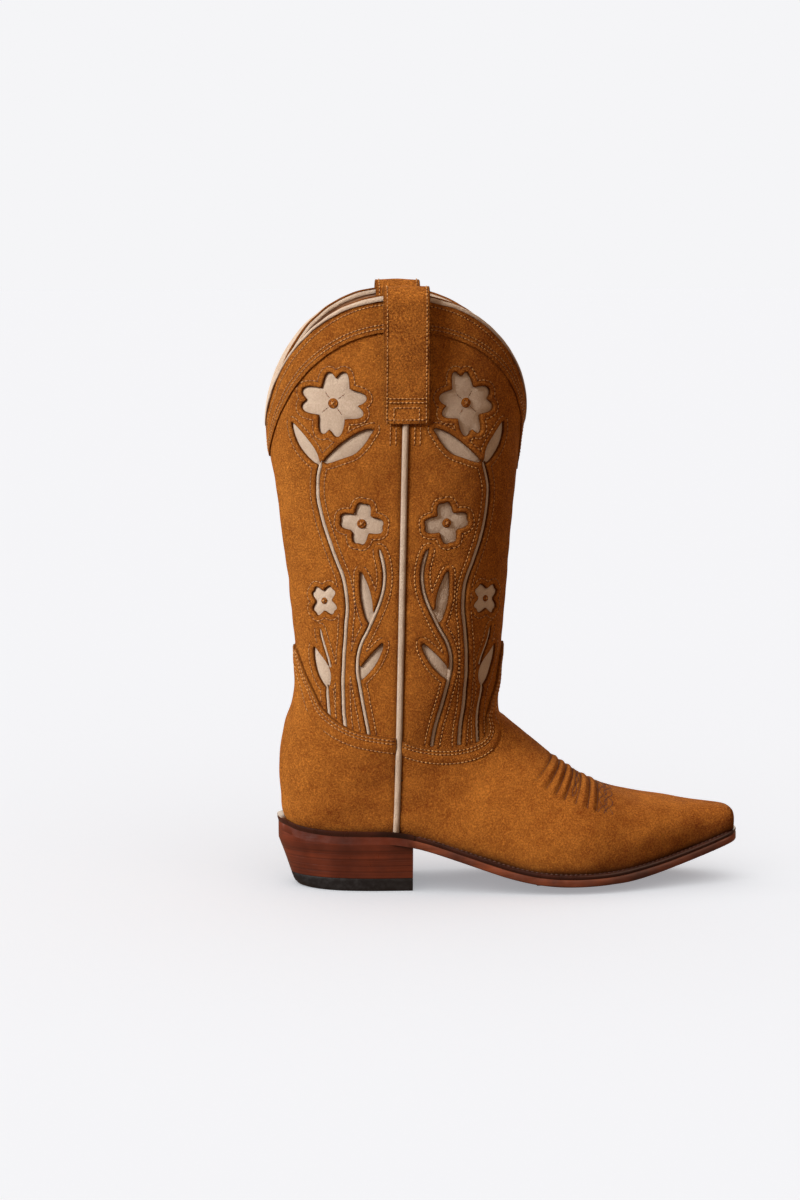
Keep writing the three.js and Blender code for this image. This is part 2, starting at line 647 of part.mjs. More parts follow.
function addSole() {
  let outsole = solePlate(SOLE_MARGIN, atFeather(OUTSOLE_TOP), treadHeight);
  for (const nail of heelNails) outsole = outsole.subtract(nail.hole);
  for (const [side, sideName] of [[-1, 'outer'], [1, 'inner']]) {
    for (const [index, x] of PEG.along.entries()) {
      const place = { x, y: side * PEG.aside };
      const bottom = treadHeight(place.x, place.y) - PEG.proud;
      const top = featherHeight(x) + OUTSOLE_TOP - GAP;
      outsole = outsole.subtract(upright(PEG.radius + GAP, place, bottom - GAP, top + PEG.holeAbove));
      addPiece(`shank_peg_${sideName}_${index + 1}`, upright(PEG.radius, place, bottom, top), pegWood);
    }
  }
  addPiece('outsole', outsole, soleLeather);

  const ring = solePlate(SOLE_MARGIN, atFeather(-WELT_DROP), atFeather(-WELT_THICKNESS))
    .subtract(solePlate(-WELT_INSET, atFeather(WELT_CUT.above), atFeather(-WELT_CUT.below)));
  addPiece('welt', ring.intersect(sideSlab(boxOutline(HEEL.breast + GAP, FAR))), weltLeather);
  addPiece('heel_rand', ring.intersect(sideSlab(boxOutline(-FAR, HEEL.breast))), weltLeather);

  addPiece('shank', shankStrip(0), springSteel);
  const filler = solePlate(-WELT_INSET - GAP, atFeather(-GAP), atFeather(-WELT_THICKNESS))
    .subtract(shankStrip(GAP));
  addPiece('bottom_filler', filler, cork);

  const insoleTop = GAP + INSOLE_THICKNESS;
  addPiece('insole', solePlate(-INSOLE_INSET, atFeather(insoleTop), atFeather(GAP)), insoleLeather);
  const sockTop = insoleTop + GAP + SOCK_THICKNESS;
  const sockLining = solePlate(-INSOLE_INSET, atFeather(sockTop), atFeather(insoleTop + GAP));
  addPiece('sock_lining', sockLining, liningLeather);
}

// The steel strip under the arch. With clearance it becomes the slot that the strip lies in,
// which is open at the top.
function shankStrip(clearance) {
  const bottom = -WELT_THICKNESS + SHANK.lift - clearance;
  const top = clearance > 0 ? SHANK.slotTop : bottom + SHANK.thickness;
  const stations = [];
  for (let step = 0; step <= SHANK.steps; step += 1) {
    const share = step / SHANK.steps;
    stations.push(THREE.MathUtils.lerp(SHANK.from - clearance, SHANK.to + clearance, share));
  }
  const low = stations.map((x) => [x, featherHeight(x) + bottom]);
  const high = stations.map((x) => [x, featherHeight(x) + top]).reverse();
  return sideSlab([...low, ...high], -SHANK.half - clearance, SHANK.half + clearance);
}

function addHeel() {
  const { from, to, foot, at } = HEEL_ROOF;
  const underSole = atFeather(OUTSOLE_TOP - OUTSOLE_THICKNESS - 3 * GAP);
  const roof = [from, ...at, to].map((x) => [x, underSole(x)]);
  const belowSole = sideSlab([[from, foot], [to, foot], ...roof.reverse()]);
  const pitch = (HEEL.stackTop - HEEL.cap) / HEEL.lifts;
  for (let lift = 0; lift < HEEL.lifts; lift += 1) {
    const bottom = HEEL.cap + GAP + lift * pitch;
    const top = lift === HEEL.lifts - 1 ? HEEL.blockTop : bottom + pitch - GAP / 2;
    let layer = heelLayer(bottom, top).intersect(belowSole);
    for (const nail of heelNails) layer = layer.subtract(nail.hole);
    addPiece(`heel_lift_${lift + 1}`, layer, stackedLeather);
  }
  let cap = heelLayer(0, HEEL.cap);
  for (const nail of heelNails) {
    cap = cap.subtract(nail.hole);
    addPiece(nail.name, nail.pin, nailBrass);
  }
  addPiece('heel_cap', cap, blackRubber);
}

function addFoot() {
  const wrapped = shell(VAMP_DEPTH, edgeAt(vampEdgeHeight)).subtract(underUpper);
  addPiece('vamp', wrapped.intersect(frontOfSeam), suede);
  addPiece('counter_cover', wrapped.intersect(backOfSeam), suede);

  const stiffened = shell(STIFFENER_DEPTH, edgeAt(() => STIFFENER_TOP)).subtract(underUpper);
  addPiece('toe_puff', stiffened.intersect(sideSlab(boxOutline(TOE_PUFF_FROM, FAR))), stiffBoard);
  addPiece('heel_counter', stiffened.intersect(sideSlab(boxOutline(-FAR, HEEL_COUNTER_TO))), stiffBoard);

  const lining = band(LINING_DEPTH, edgeAt(shaftEndHeight, -GAP), () => LINING_LAST_RIB);
  addPiece('vamp_lining', lining.subtract(underUpper), liningLeather);
}

function addShaft() {
  const mouth = edgeAt(mouthHeight, -BINDING_HEIGHT - 3 * GAP);
  const shaftEnd = edgeAt(shaftEndHeight);
  let leather = band(SHAFT_DEPTH, mouth, shaftEnd);
  for (const quarter of QUARTERS) {
    for (const shape of cutOutShapes()) {
      leather = leather.subtract(laidOnShaft(shape, CUT_DEPTH, quarter));
    }
  }
  addPiece('shaft_front', leather.intersect(frontOfSeam), suede);
  addPiece('shaft_back', leather.intersect(backOfSeam), suede);

  const lining = band(LINING_DEPTH, mouth, shaftEnd);
  addPiece('shaft_lining_front', lining.intersect(frontOfSeam), liningLeather);
  addPiece('shaft_lining_back', lining.intersect(backOfSeam), liningLeather);

  const collar = band(COLLAR_DEPTH, mouth, edgeAt(collarEdgeHeight));
  addPiece('collar_front', collar.intersect(frontOfSeam), suede);
  addPiece('collar_back', collar.intersect(backOfSeam), suede);

  const binding = band(BINDING_DEPTH, edgeAt(mouthHeight), edgeAt(mouthHeight, -BINDING_HEIGHT));
  addPiece('top_binding_front', binding.intersect(frontOfSeam), creamSuede);
  addPiece('top_binding_back', binding.intersect(backOfSeam), creamSuede);

  const piping = band(PIPING_DEPTH, edgeAt(() => PIPING_TOP), edgeAt(() => PIPING_FOOT));
  const onSeams = piping.subtract(underUpper).intersect(onSeam);
  addPiece('side_piping_outer', onSeams.intersect(sideSlab(boxOutline(-FAR, FAR), -FAR, 0)), creamSuede);
  addPiece('side_piping_inner', onSeams.intersect(sideSlab(boxOutline(-FAR, FAR), 0, FAR)), creamSuede);
}

function addFlowers() {
  const inlayTop = (angle) => Math.min(INLAY_TOP, collarEdgeHeight(angle) + INLAY_UNDER_COLLAR);
  const sheet = band(INLAY_DEPTH, edgeAt(inlayTop), edgeAt(() => INLAY_FOOT));
  for (const quarter of QUARTERS) {
    const near = STRAP.x + quarter.end * INLAY_FROM_SEAM;
    const outline = quarter.end > 0 ? boxOutline(near, FAR) : boxOutline(-FAR, near);
    const reach = quarter.side < 0 ? [-FAR, -INLAY_FROM_MIDDLE] : [INLAY_FROM_MIDDLE, FAR];
    addPiece(`inlay_${quarter.name}`, sheet.intersect(sideSlab(outline, ...reach)), creamSuede);
    for (const flower of [BIG_FLOWER, MID_FLOWER, SMALL_FLOWER]) {
      const disc = new THREE.Path().absarc(flower.u, flower.z, flower.dot, 0, 2 * Math.PI);
      const dot = laidOnShaft(new THREE.Shape(disc.getPoints(DOT_CORNERS)), DOT_DEPTH, quarter);
      addPiece(`flower_centre_${flower.size}_${quarter.name}`, dot, suede);
    }
  }
}

function cutOutShapes() {
  return [
    flowerShape(BIG_FLOWER),
    flowerShape(MID_FLOWER),
    flowerShape(SMALL_FLOWER),
    ...LEAVES.map(leafShape),
    ...STEMS.map(stemShape),
  ];
}

function addPullStraps() {
  addPiece('pull_strap_outer', strapLoop(-1), suede);
  addPiece('pull_strap_inner', strapLoop(1), suede);
}
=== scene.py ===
import math

import bpy
import numpy as np
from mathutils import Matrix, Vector
from mathutils.kdtree import KDTree


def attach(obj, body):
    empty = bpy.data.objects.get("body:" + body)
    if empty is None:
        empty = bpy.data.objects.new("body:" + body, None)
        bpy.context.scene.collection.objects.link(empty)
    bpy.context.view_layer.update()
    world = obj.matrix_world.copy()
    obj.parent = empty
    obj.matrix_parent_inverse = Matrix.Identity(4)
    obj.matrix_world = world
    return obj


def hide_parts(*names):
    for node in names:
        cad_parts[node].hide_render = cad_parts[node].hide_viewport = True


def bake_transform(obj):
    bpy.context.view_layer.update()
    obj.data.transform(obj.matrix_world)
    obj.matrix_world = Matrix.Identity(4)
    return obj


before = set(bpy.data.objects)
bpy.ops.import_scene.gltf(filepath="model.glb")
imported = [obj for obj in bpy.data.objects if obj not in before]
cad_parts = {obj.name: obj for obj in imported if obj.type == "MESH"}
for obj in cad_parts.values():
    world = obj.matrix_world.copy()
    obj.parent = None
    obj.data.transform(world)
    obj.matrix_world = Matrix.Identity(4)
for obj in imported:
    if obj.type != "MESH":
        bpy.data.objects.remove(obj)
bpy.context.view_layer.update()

# A pull-on western boot in suede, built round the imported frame. Shapes are worked out in
# millimetres and become metres when a mesh is made. +X is the toe, -Y the outer side.

MM = 0.001
BOOT = "boot"
SIDES = {"outer": -1, "inner": 1}

# ---------- driving dimensions, in mm ----------

# Ribs of the last: front rail x, z, back rail x, z, half width, sideways shift, and how
# square the front half and the back half of the rib's superellipse are.
RIBS = np.array([
    [105.0, 372, -54.0, 372, 51.0, 0, 2.25, 2.25],
    [104.3, 304, -53.6, 304, 50.8, 0, 2.25, 2.25],
    [101.6, 275, -52.2, 275, 49.6, 0, 2.25, 2.25],
    [98.6, 245, -48.0, 245, 47.4, 0, 2.25, 2.25],
    [95.2, 205, -42.6, 205, 45.2, 0, 2.25, 2.25],
    [92.2, 165, -38.8, 165, 42.6, 0, 2.25, 2.3],
    [90.0, 136, -36.6, 136, 40.2, 0, 2.2, 2.4],
    [87.6, 118, -37.2, 117, 38.8, 0, 2.1, 2.5],
    [88.6, 108, -42.4, 100, 38.0, 0, 2.05, 2.6],
    [92.6, 104, -45.6, 80, 36.8, 0, 2.0, 2.7],
    [97.0, 100, -44.9, 60, 35.2, 0, 2.0, 2.8],
    [102.0, 96, -40.0, 40, 34.0, 0, 2.0, 2.9],
    [108.0, 91, -16.0, 25, 33.2, 0, 2.0, 2.9],
    [115.0, 85, 22.0, 22, 33.4, -0.5, 2.0, 2.9],
    [124.0, 78, 62.0, 9, 36.0, -1.5, 2.0, 2.8],
    [136.0, 69.5, 100.0, -4, 39.8, -2.0, 2.0, 2.8],
    [152.0, 60.5, 138.0, -6, 41.2, -0.8, 2.1, 2.8],
    [174.0, 53.6, 168.0, -2, 36.0, 1.2, 2.2, 2.8],
    [200.0, 49.4, 198.0, 8, 26.2, 2.8, 2.4, 2.8],
    [220.0, 46.4, 219.5, 17, 17.6, 3.4, 2.6, 2.8],
    [231.0, 44.6, 231.0, 24, 12.6, 3.6, 2.8, 2.8],
    [235.0, 42.0, 235.0, 27.5, 9.6, 3.6, 2.8, 2.8],
    [236.2, 38.6, 236.2, 31, 6.0, 3.6, 2.8, 2.8],
])
LAST_RIB = len(RIBS) - 1
TOE_DOME, TOE_FROM, TOE_OVER = 1.4, 215, 21

# Depths of the two faces of each layer, outwards from the last.
SHAFT_OUTSIDE, SHAFT_INSIDE = 0.0, -1.5
INLAY_OUTSIDE, INLAY_INSIDE = -1.55, -2.6
VAMP_OUTSIDE, VAMP_INSIDE = 1.7, 0.05
COLLAR_OUTSIDE, COLLAR_INSIDE = 1.05, 0.05
LINING_OUTSIDE, LINING_INSIDE = -3.5, -4.5

# Middle of the side seam at its foot and at the mouth.
SEAM_FOOT_X, SEAM_FOOT_Z = 24.4, 39
SEAM_MOUTH_X, SEAM_MOUTH_Z = 30.0, 372
PIPING_HALF = 1.8

# Heights of an edge at the front, the back and the sides, and the powers of its front and back rise.
MOUTH_EDGE = (291, 289, 368, 1.0, 1.15)
COLLAR_EDGE = (258, 268, 347, 0.75, 1.3)
# Top edge of the vamp and the counter: degrees from the front, height.
VAMP_EDGE = np.array([
    [0, 152], [8, 150.5], [12, 147], [16, 132], [22, 121], [30, 110], [36, 100], [44, 94.5], [54, 91],
    [66, 90], [78, 92.5], [90, 98], [104, 102], [116, 107], [130, 114.5], [139, 122], [148, 132.5],
    [156, 142], [163, 149], [168, 150], [173, 147.5], [180, 151],
], float)
SHAFT_FOOT_LOW, SHAFT_FOOT_HIGH, SHAFT_OVERLAP = 84, 100, 9

# Feather line, where the upper meets the sole: x, z. Then its outline from above: x, y.
FEATHER = np.array([
    [-60, 45], [-44, 42.5], [-35, 40.2], [-17, 38.6], [4, 38.3], [24, 37.7], [42, 33.9], [64, 26.8],
    [80, 21.4], [96, 16.6], [113, 13.3], [133, 12], [160, 13.2], [185, 17.5], [210, 23.8],
    [236, 31.7], [250, 36],
])
PLAN_OUTER = np.array([
    [-41.4, -3], [-39.6, -9.5], [-34.5, -17], [-26, -23.2], [-12, -28], [8, -30.4], [38, -31],
    [75, -34.5], [109, -39.6], [133, -40.9], [156, -38], [185, -28.4], [210, -18], [227, -10.8],
    [234, -6.4], [236.4, -1],
])
PLAN_INNER = np.array([
    [-41.4, 3], [-39.6, 9.5], [-34.5, 17], [-26, 23.2], [-12, 28], [8, 30.2], [38, 29.9],
    [75, 31.5], [109, 35.6], [133, 38.4], [156, 38.3], [185, 32.7], [210, 24.4], [227, 17.7],
    [234, 13.6], [236.4, 8],
])
WELT_THICKNESS, OUTSOLE_THICKNESS, SOLE_MARGIN = 2.7, 4.6, 3.2
LIP_EXTRA, LIP_ALONG = 3.4, 0.2
WELT_INSET, INSOLE_INSET = 6, 9
TREAD_FROM, TREAD_TO, TREAD_FADE = 112, 162, 40
TREAD_HALF, TREAD_SIDE_FADE, TREAD_DROP = 20, 20, 4.4

HEEL_BREAST, HEEL_HALF, HEEL_ALONG, HEEL_MARGIN = 34.5, 31.2, 0.36, 0.6
HEEL_SEAT, HEEL_CAP, HEEL_LIFTS = 30.2, 8.2, 5
HEEL_WEAR, HEEL_WEAR_HEIGHT, HEEL_WEAR_POWER = 2.8, 1.8, 5
HEEL_TAPER_BACK, HEEL_TAPER_SIDE = 7.0, 3.4

STRAP_X, STRAP_WIDTH, STRAP_THICKNESS = 29.2, 28, 2.0
# Middle line of a strap, seen from the front: distance from the boot's middle, height.
STRAP_PATH = np.array([
    [52.2, 292], [52.6, 301], [54.9, 320], [57.2, 342], [57.9, 359], [57.3, 367.6], [54, 372],
    [49.4, 373], [45, 371.8], [41.8, 367.4], [41, 358], [41.4, 342], [42.2, 324], [43, 306],
])
STRAP_FOOT = STRAP_PATH[0, 1]


# ---------- curves ----------

def smooth_curve(points, steps=12, closed=False):
    """Catmull-Rom curve through the points, as a dense polyline."""
    points = np.asarray(points, float)
    if closed:
        before, start, end, after = (np.roll(points, shift, 0) for shift in (1, 0, -1, -2))
    else:
        first, last = 2 * points[0] - points[1], 2 * points[-1] - points[-2]
        padded = np.vstack([first, points, last])
        before, start, end, after = padded[:-3], padded[1:-2], padded[2:-1], padded[3:]
    share = (np.arange(steps) / steps)[None, :, None]
    before, start, end, after = (side[:, None, :] for side in (before, start, end, after))
    curve = 0.5 * (2 * start + (end - before) * share
                   + (2 * before - 5 * start + 4 * end - after) * share ** 2
                   + (3 * start - before - 3 * end + after) * share ** 3)
    curve = curve.reshape(-1, points.shape[1])
    return curve if closed else np.vstack([curve, points[-1]])


def lengths_along(points):
    return np.concatenate([[0], np.cumsum(np.linalg.norm(np.diff(points, axis=0), axis=1))])


def evenly(points, spacing):
    """The same polyline with its points about one spacing apart."""
    along = lengths_along(points)
    count = max(int(round(along[-1] / spacing)), 1)
    wanted = np.linspace(0, along[-1], count + 1)
    return np.column_stack([np.interp(wanted, along, column) for column in points.T])


def smoothstep(value, low, high):
    share = np.clip((value - low) / (high - low), 0, 1)
    return share * share * (3 - 2 * share)


FEATHER_LINE = smooth_curve(FEATHER)


def feather_height(x):
    return np.interp(x, FEATHER_LINE[:, 0], FEATHER_LINE[:, 1])


def seam_x(z):
    return SEAM_FOOT_X + (z - SEAM_FOOT_Z) * (SEAM_MOUTH_X - SEAM_FOOT_X) / (SEAM_MOUTH_Z - SEAM_FOOT_Z)


# ---------- the last ----------

def rib_values(number):
    """The eight values of a rib at a fractional rib number."""
    number = np.clip(number, 0, LAST_RIB)
    low = np.minimum(np.floor(number).astype(int), LAST_RIB - 1)
    share = (number - low)[..., None]
    start, end = RIBS[low], RIBS[low + 1]
    before, after = RIBS[np.maximum(low - 1, 0)], RIBS[np.minimum(low + 2, LAST_RIB)]
    leave = np.where((low > 0)[..., None], (end - before) / 2, end - start)
    arrive = np.where((low < LAST_RIB - 1)[..., None], (after - start) / 2, end - start)
    return ((2 * share ** 3 - 3 * share ** 2 + 1) * start + (share ** 3 - 2 * share ** 2 + share) * leave
            + (3 * share ** 2 - 2 * share ** 3) * end + (share ** 3 - share ** 2) * arrive)


def last_point(number, angle, depth=0.0):
    """A point of the last's face, moved outwards by a depth.

    Numbers past the last rib dome the toe."""
    number, angle, depth = np.broadcast_arrays(*(np.asarray(a, float) for a in (number, angle, depth)))
    values = rib_values(number)
    front_x, front_z, back_x, back_z, half, shift, square_front, square_back = np.moveaxis(values, -1, 0)
    axis_x, axis_z = (front_x - back_x) / 2, (front_z - back_z) / 2
    reach = np.hypot(axis_x, axis_z)
    centre_x, centre_z = (front_x + back_x) / 2, (front_z + back_z) / 2
    cosine, sine = np.cos(angle), np.sin(angle)
    power = 2 / np.where(cosine >= 0, square_front, square_back)
    toe = np.clip((centre_x - TOE_FROM) / TOE_OVER, 0, 1)
    past = np.clip(number - LAST_RIB, 0, 1)
    shrink = np.sqrt(np.clip(1 - past ** 2, 0, 1))
    along = shrink * (reach + depth) * np.sign(cosine) * np.abs(cosine) ** power
    across = shrink * (half + depth) * np.sign(sine) * np.abs(sine) ** power
    x = centre_x + depth * toe + axis_x / reach * along + TOE_DOME * (1 - shrink)
    z = centre_z + axis_z / reach * along
    return np.stack([x, shift + across, z], -1)


def bisect(low, high, goes_on, steps=22):
    low, high = low.copy(), high.copy()
    for _ in range(steps):
        middle = (low + high) / 2
        further = goes_on(middle)
        low = np.where(further, middle, low)
        high = np.where(further, high, middle)
    return (low + high) / 2


def rib_at_height(angle, height):
    angle, height = np.broadcast_arrays(np.asarray(angle, float), np.asarray(height, float))
    low, high = np.zeros(angle.shape), np.full(angle.shape, float(LAST_RIB))
    return bisect(low, high, lambda number: last_point(number, angle)[..., 2] > height)


def edge_height(angle, front, back, side, front_power, back_power):
    rise = np.abs(np.sin(angle))
    at_front = front + (side - front) * rise ** front_power
    at_back = back + (side - back) * rise ** back_power
    return np.where(np.cos(angle) > 0, at_front, at_back)


def point_at_height(angle, height, depth=0.0):
    return last_point(rib_at_height(angle, height), angle, depth)


def mouth_height(angle):
    return edge_height(angle, *MOUTH_EDGE)


def collar_edge_height(angle):
    return edge_height(angle, *COLLAR_EDGE)


def vamp_edge_height(angle):
    return np.interp(np.abs(np.degrees(angle)), VAMP_EDGE_LINE[:, 0], VAMP_EDGE_LINE[:, 1])


VAMP_EDGE_LINE = smooth_curve(VAMP_EDGE, 6)


def shaft_foot_height(angle):
    return np.clip(vamp_edge_height(angle) - SHAFT_OVERLAP, SHAFT_FOOT_LOW, SHAFT_FOOT_HIGH)


# ---------- sheets: triangles on a flat chart ----------

class Sheet:
    """Triangles over a chart with two coordinates. Sheets are scored and trimmed along level lines."""

    def __init__(self, first, second):
        a, b = np.meshgrid(first, second, indexing="ij")
        self.places = np.column_stack([a.ravel(), b.ravel()])
        index = np.arange(a.size).reshape(a.shape)
        p, q, r, s = index[:-1, :-1], index[1:, :-1], index[1:, 1:], index[:-1, 1:]
        self.tris = np.stack([p, q, r, p, r, s], -1).reshape(-1, 3)
        self.locked = np.zeros(len(self.places), bool)

    def copy(self):
        twin = Sheet.__new__(Sheet)
        twin.places, twin.tris, twin.locked = self.places.copy(), self.tris.copy(), self.locked.copy()
        return twin

    def carry(self, rule):
        """Stores rule(places) as one more column, which later cuts interpolate.

        Returns a rule that reads it."""
        self.places = np.column_stack([self.places, rule(self.places)])
        column = self.places.shape[1] - 1
        return lambda places: places[:, column]

    def score(self, rule, level=0.0, snap=0.25):
        """Cuts triangles along rule(places) == level, keeping both sides."""
        value = rule(self.places) - level
        value[np.abs(value) < 1e-9] = 0
        edges = np.unique(np.sort(sides_of(self.tris), 1), axis=0)
        a, b = edges[value[edges[:, 0]] * value[edges[:, 1]] < 0].T
        share = value[a] / (value[a] - value[b])
        meet = self.places[a] + (self.places[b] - self.places[a]) * share[:, None]
        for ends, near in ((a, share < snap), (b, share > 1 - snap)):
            moved = near & ~self.locked[ends]
            self.places[ends[moved]] = meet[moved]
            value[ends[moved]] = 0
        self.locked[value == 0] = True
        still = value[a] * value[b] < 0
        a, b = a[still], b[still]
        share = value[a] / (value[a] - value[b])
        meet = self.places[a] + (self.places[b] - self.places[a]) * share[:, None]
        count = len(self.places)
        keys = a.astype(np.int64) * count + b
        order = np.argsort(keys)
        keys = keys[order]
        self.places = np.vstack([self.places, meet[order]])
        self.locked = np.concatenate([self.locked, np.ones(len(meet), bool)])
        sign = np.sign(np.concatenate([value, np.zeros(len(meet))]))

        def cut(one, other):
            key = np.minimum(one, other).astype(np.int64) * count + np.maximum(one, other)
            return count + np.searchsorted(keys, key)

        kept = []
        signs = sign[self.tris]
        done = np.zeros(len(self.tris), bool)
        for turn in range(3):
            x, y, z = (self.tris[:, (turn + k) % 3] for k in range(3))
            sx, sy, sz = (signs[:, (turn + k) % 3] for k in range(3))
            odd = (sx != 0) & (sy == -sx) & (sz == -sx)
            m, n = cut(x[odd], y[odd]), cut(x[odd], z[odd])
            kept += [np.column_stack([x[odd], m, n]), np.column_stack([m, y[odd], z[odd]]),
                     np.column_stack([m, z[odd], n])]
            halved = (sx == 0) & (sy * sz < 0)
            m = cut(y[halved], z[halved])
            kept += [np.column_stack([x[halved], y[halved], m]),
                     np.column_stack([x[halved], m, z[halved]])]
            done |= odd | halved
        self.tris = np.vstack([self.tris[~done]] + kept)
        return self

    def trim(self, rule, level=0.0):
        """Keeps the part where the rule is above the level."""
        self.score(rule, level)
        middle = self.places[self.tris].mean(1)
        self.tris = self.tris[rule(middle) > level]
        used, inverse = np.unique(self.tris, return_inverse=True)
        self.places, self.locked = self.places[used], self.locked[used]
        self.tris = inverse.reshape(-1, 3)
        return self


def sides_of(tris):
    return np.concatenate([tris[:, [0, 1]], tris[:, [1, 2]], tris[:, [2, 0]]])


def rim_edges(tris):
    """The directed edges that belong to one triangle only."""
    edges = sides_of(tris).astype(np.int64)
    size = edges.max() + 1
    keys, back = edges[:, 0] * size + edges[:, 1], edges[:, 1] * size + edges[:, 0]
    return edges[~np.isin(keys, back)]


# ---------- meshes ----------

def make_piece(name, points, faces, material, body=BOOT, shade=None, crease=50):
    """A mesh piece from points in mm. Shade is a darkening per point, 1 for none."""
    mesh = bpy.data.meshes.new(name)
    corners = [list(map(int, face)) for face in faces]
    mesh.from_pydata((np.asarray(points) * MM).tolist(), [], corners)
    if shade is not None:
        stored = mesh.attributes.new("shade", "FLOAT", "POINT")
        stored.data.foreach_set("value", np.asarray(shade, np.float32))
    mesh.validate()
    mesh.materials.append(material)
    mesh.polygons.foreach_set("use_smooth", np.ones(len(mesh.polygons), bool))
    mesh.set_sharp_from_angle(angle=math.radians(crease))
    piece = bpy.data.objects.new(name, mesh)
    bpy.context.scene.collection.objects.link(piece)
    if body:
        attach(piece, body)
    return piece


def stand_for(piece, node):
    """Hides the node that the piece takes the place of."""
    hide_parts(node)


def thick_piece(name, tris, outside, inside, material, shade, **options):
    """A closed sheet of leather between two layers of points that share their triangles."""
    a, b, c = (outside[tris[:, k]] for k in range(3))
    normal = np.cross(b - a, c - a)
    out = (outside - inside)[tris].mean(1)
    if np.sum(normal * out) < 0:
        tris = tris[:, ::-1]
    count = len(outside)
    a, b = rim_edges(tris).T
    rim = np.concatenate([np.column_stack([b, a, a + count]), np.column_stack([b, a + count, b + count])])
    faces = np.concatenate([tris, tris[:, ::-1] + count, rim])
    shades = np.concatenate([shade, np.full(count, 0.45)])
    return make_piece(name, np.vstack([outside, inside]), faces.tolist(), material, shade=shades, **options)


def wrapped_surface(name, points, material, shade=None, **options):
    """Closed rings of points (rows, columns, 3) skinned with quads and capped at both ends."""
    rows, columns = points.shape[:2]
    index = np.arange(rows * columns).reshape(rows, columns)
    index = np.hstack([index, index[:, :1]])
    quads = np.stack([index[:-1, :-1], index[:-1, 1:], index[1:, 1:], index[1:, :-1]], -1).reshape(-1, 4)
    faces = quads.tolist()
    flat = points.reshape(-1, 3)
    faces += [list(range(columns))[::-1], list(range((rows - 1) * columns, rows * columns))]
    if sum_volume(flat, quads) < 0:
        faces = [face[::-1] for face in faces]
    if shade is not None:
        shade = shade.ravel()
    return make_piece(name, flat, faces, material, shade=shade, **options)


def sum_volume(points, quads):
    centre = points.mean(0)
    a, b, c, d = (points[quads[:, k]] - centre for k in range(4))
    return np.sum(np.cross(a, b) * c) + np.sum(np.cross(a, c) * d)


def ripple(points, wavelength, seed, waves=7):
    """Smooth unevenness between about -1 and 1, the same at every run."""
    random = np.random.default_rng(seed)
    total = np.zeros(len(points))
    for _ in range(waves):
        direction = random.normal(size=3)
        direction *= 2 * math.pi / (wavelength * random.uniform(0.7, 1.5) * np.linalg.norm(direction))
        total += np.sin(points @ direction + random.uniform(0, 2 * math.pi))
    return total / math.sqrt(waves)


# ---------- the shaft's chart ----------

class ShaftChart:
    """Chart of one end of the shaft: the share of the way from the side seam to the centre line,
    and the height."""

    STEP = 2.0

    def __init__(self, end):
        self.end = end
        self.heights = np.arange(60.0, 373.0, self.STEP)
        self.shares = np.linspace(0, 1, 91)
        rows = self.heights
        low, high = np.zeros(len(rows)), np.full(len(rows), math.pi)
        self.seam = bisect(low, high, lambda turn: point_at_height(turn, rows)[..., 0] > seam_x(rows))
        angle = self.angle(self.shares[None, :], rows[:, None])
        points = point_at_height(angle, rows[:, None])
        steps = np.linalg.norm(np.diff(points, axis=1), axis=2)
        self.arc = np.concatenate([np.zeros((len(rows), 1)), np.cumsum(steps, 1)], 1)

    def angle(self, share, z):
        seam = np.interp(z, self.heights, self.seam)
        centre = 0 if self.end > 0 else math.pi
        return seam + (centre - seam) * share

    def angle_at(self, places):
        return self.angle(places[:, 0], places[:, 1])

    def leather(self, places):
        """The chart place in mm of leather: distance from the seam, and height."""
        share, z = places[:, 0], places[:, 1]
        row = np.clip((z - self.heights[0]) / self.STEP, 0, len(self.heights) - 1.001)
        column = np.clip(share, 0, 1) * (len(self.shares) - 1)
        i, j = row.astype(int), np.minimum(column.astype(int), len(self.shares) - 2)
        p, q = row - i, column - j
        arc = self.arc
        u = ((1 - p) * ((1 - q) * arc[i, j] + q * arc[i, j + 1])
             + p * ((1 - q) * arc[i + 1, j] + q * arc[i + 1, j + 1]))
        return np.column_stack([u, z])

    def full_width(self, z):
        """The leather from the seam to the centre line."""
        return self.leather(np.column_stack([np.ones(len(z)), z]))[:, 0]

    def share_at(self, u, z):
        """The chart share for a distance from the seam."""
        row = np.clip(np.round((z - self.heights[0]) / self.STEP).astype(int), 0, len(self.heights) - 1)
        stride = 1000.0
        flat = (self.arc + stride * np.arange(len(self.heights))[:, None]).ravel()
        shares = np.tile(self.shares, len(self.heights))
        u = np.clip(u, 0, self.arc[row, -1])
        return np.interp(u + stride * row, flat, shares)

    def point(self, share, z, depth, side):
        angle = self.angle(share, z)
        return last_point(rib_at_height(angle, z), angle * side, depth)

    def layer(self, places, depth, side):
        """Points for chart places."""
        return self.point(places[:, 0], places[:, 1], depth, side)

    def drawn(self, uv, depth, side):
        """Points for drawing places (u, z)."""
        return self.point(self.share_at(uv[:, 0], uv[:, 1]), uv[:, 1], depth, side)


CHARTS = {"front": ShaftChart(1), "back": ShaftChart(-1)}


def weld_sides(sheet):
    """The sheet on the outer side and its mirror image, welded on the centre line."""
    count = len(sheet.places)
    shared = sheet.places[:, 0] > 1 - 1e-7
    mirror = np.where(shared, np.arange(count), 0)
    mirror[~shared] = count + np.arange(np.sum(~shared))
    tris = np.vstack([sheet.tris, mirror[sheet.tris][:, ::-1]])
    places = np.vstack([sheet.places, sheet.places[~shared]])
    side = np.concatenate([np.full(count, -1.0), np.full(np.sum(~shared), 1.0)])
    return places, tris, side


# ---------- the flower drawing, in mm of leather from the side seam and height ----------

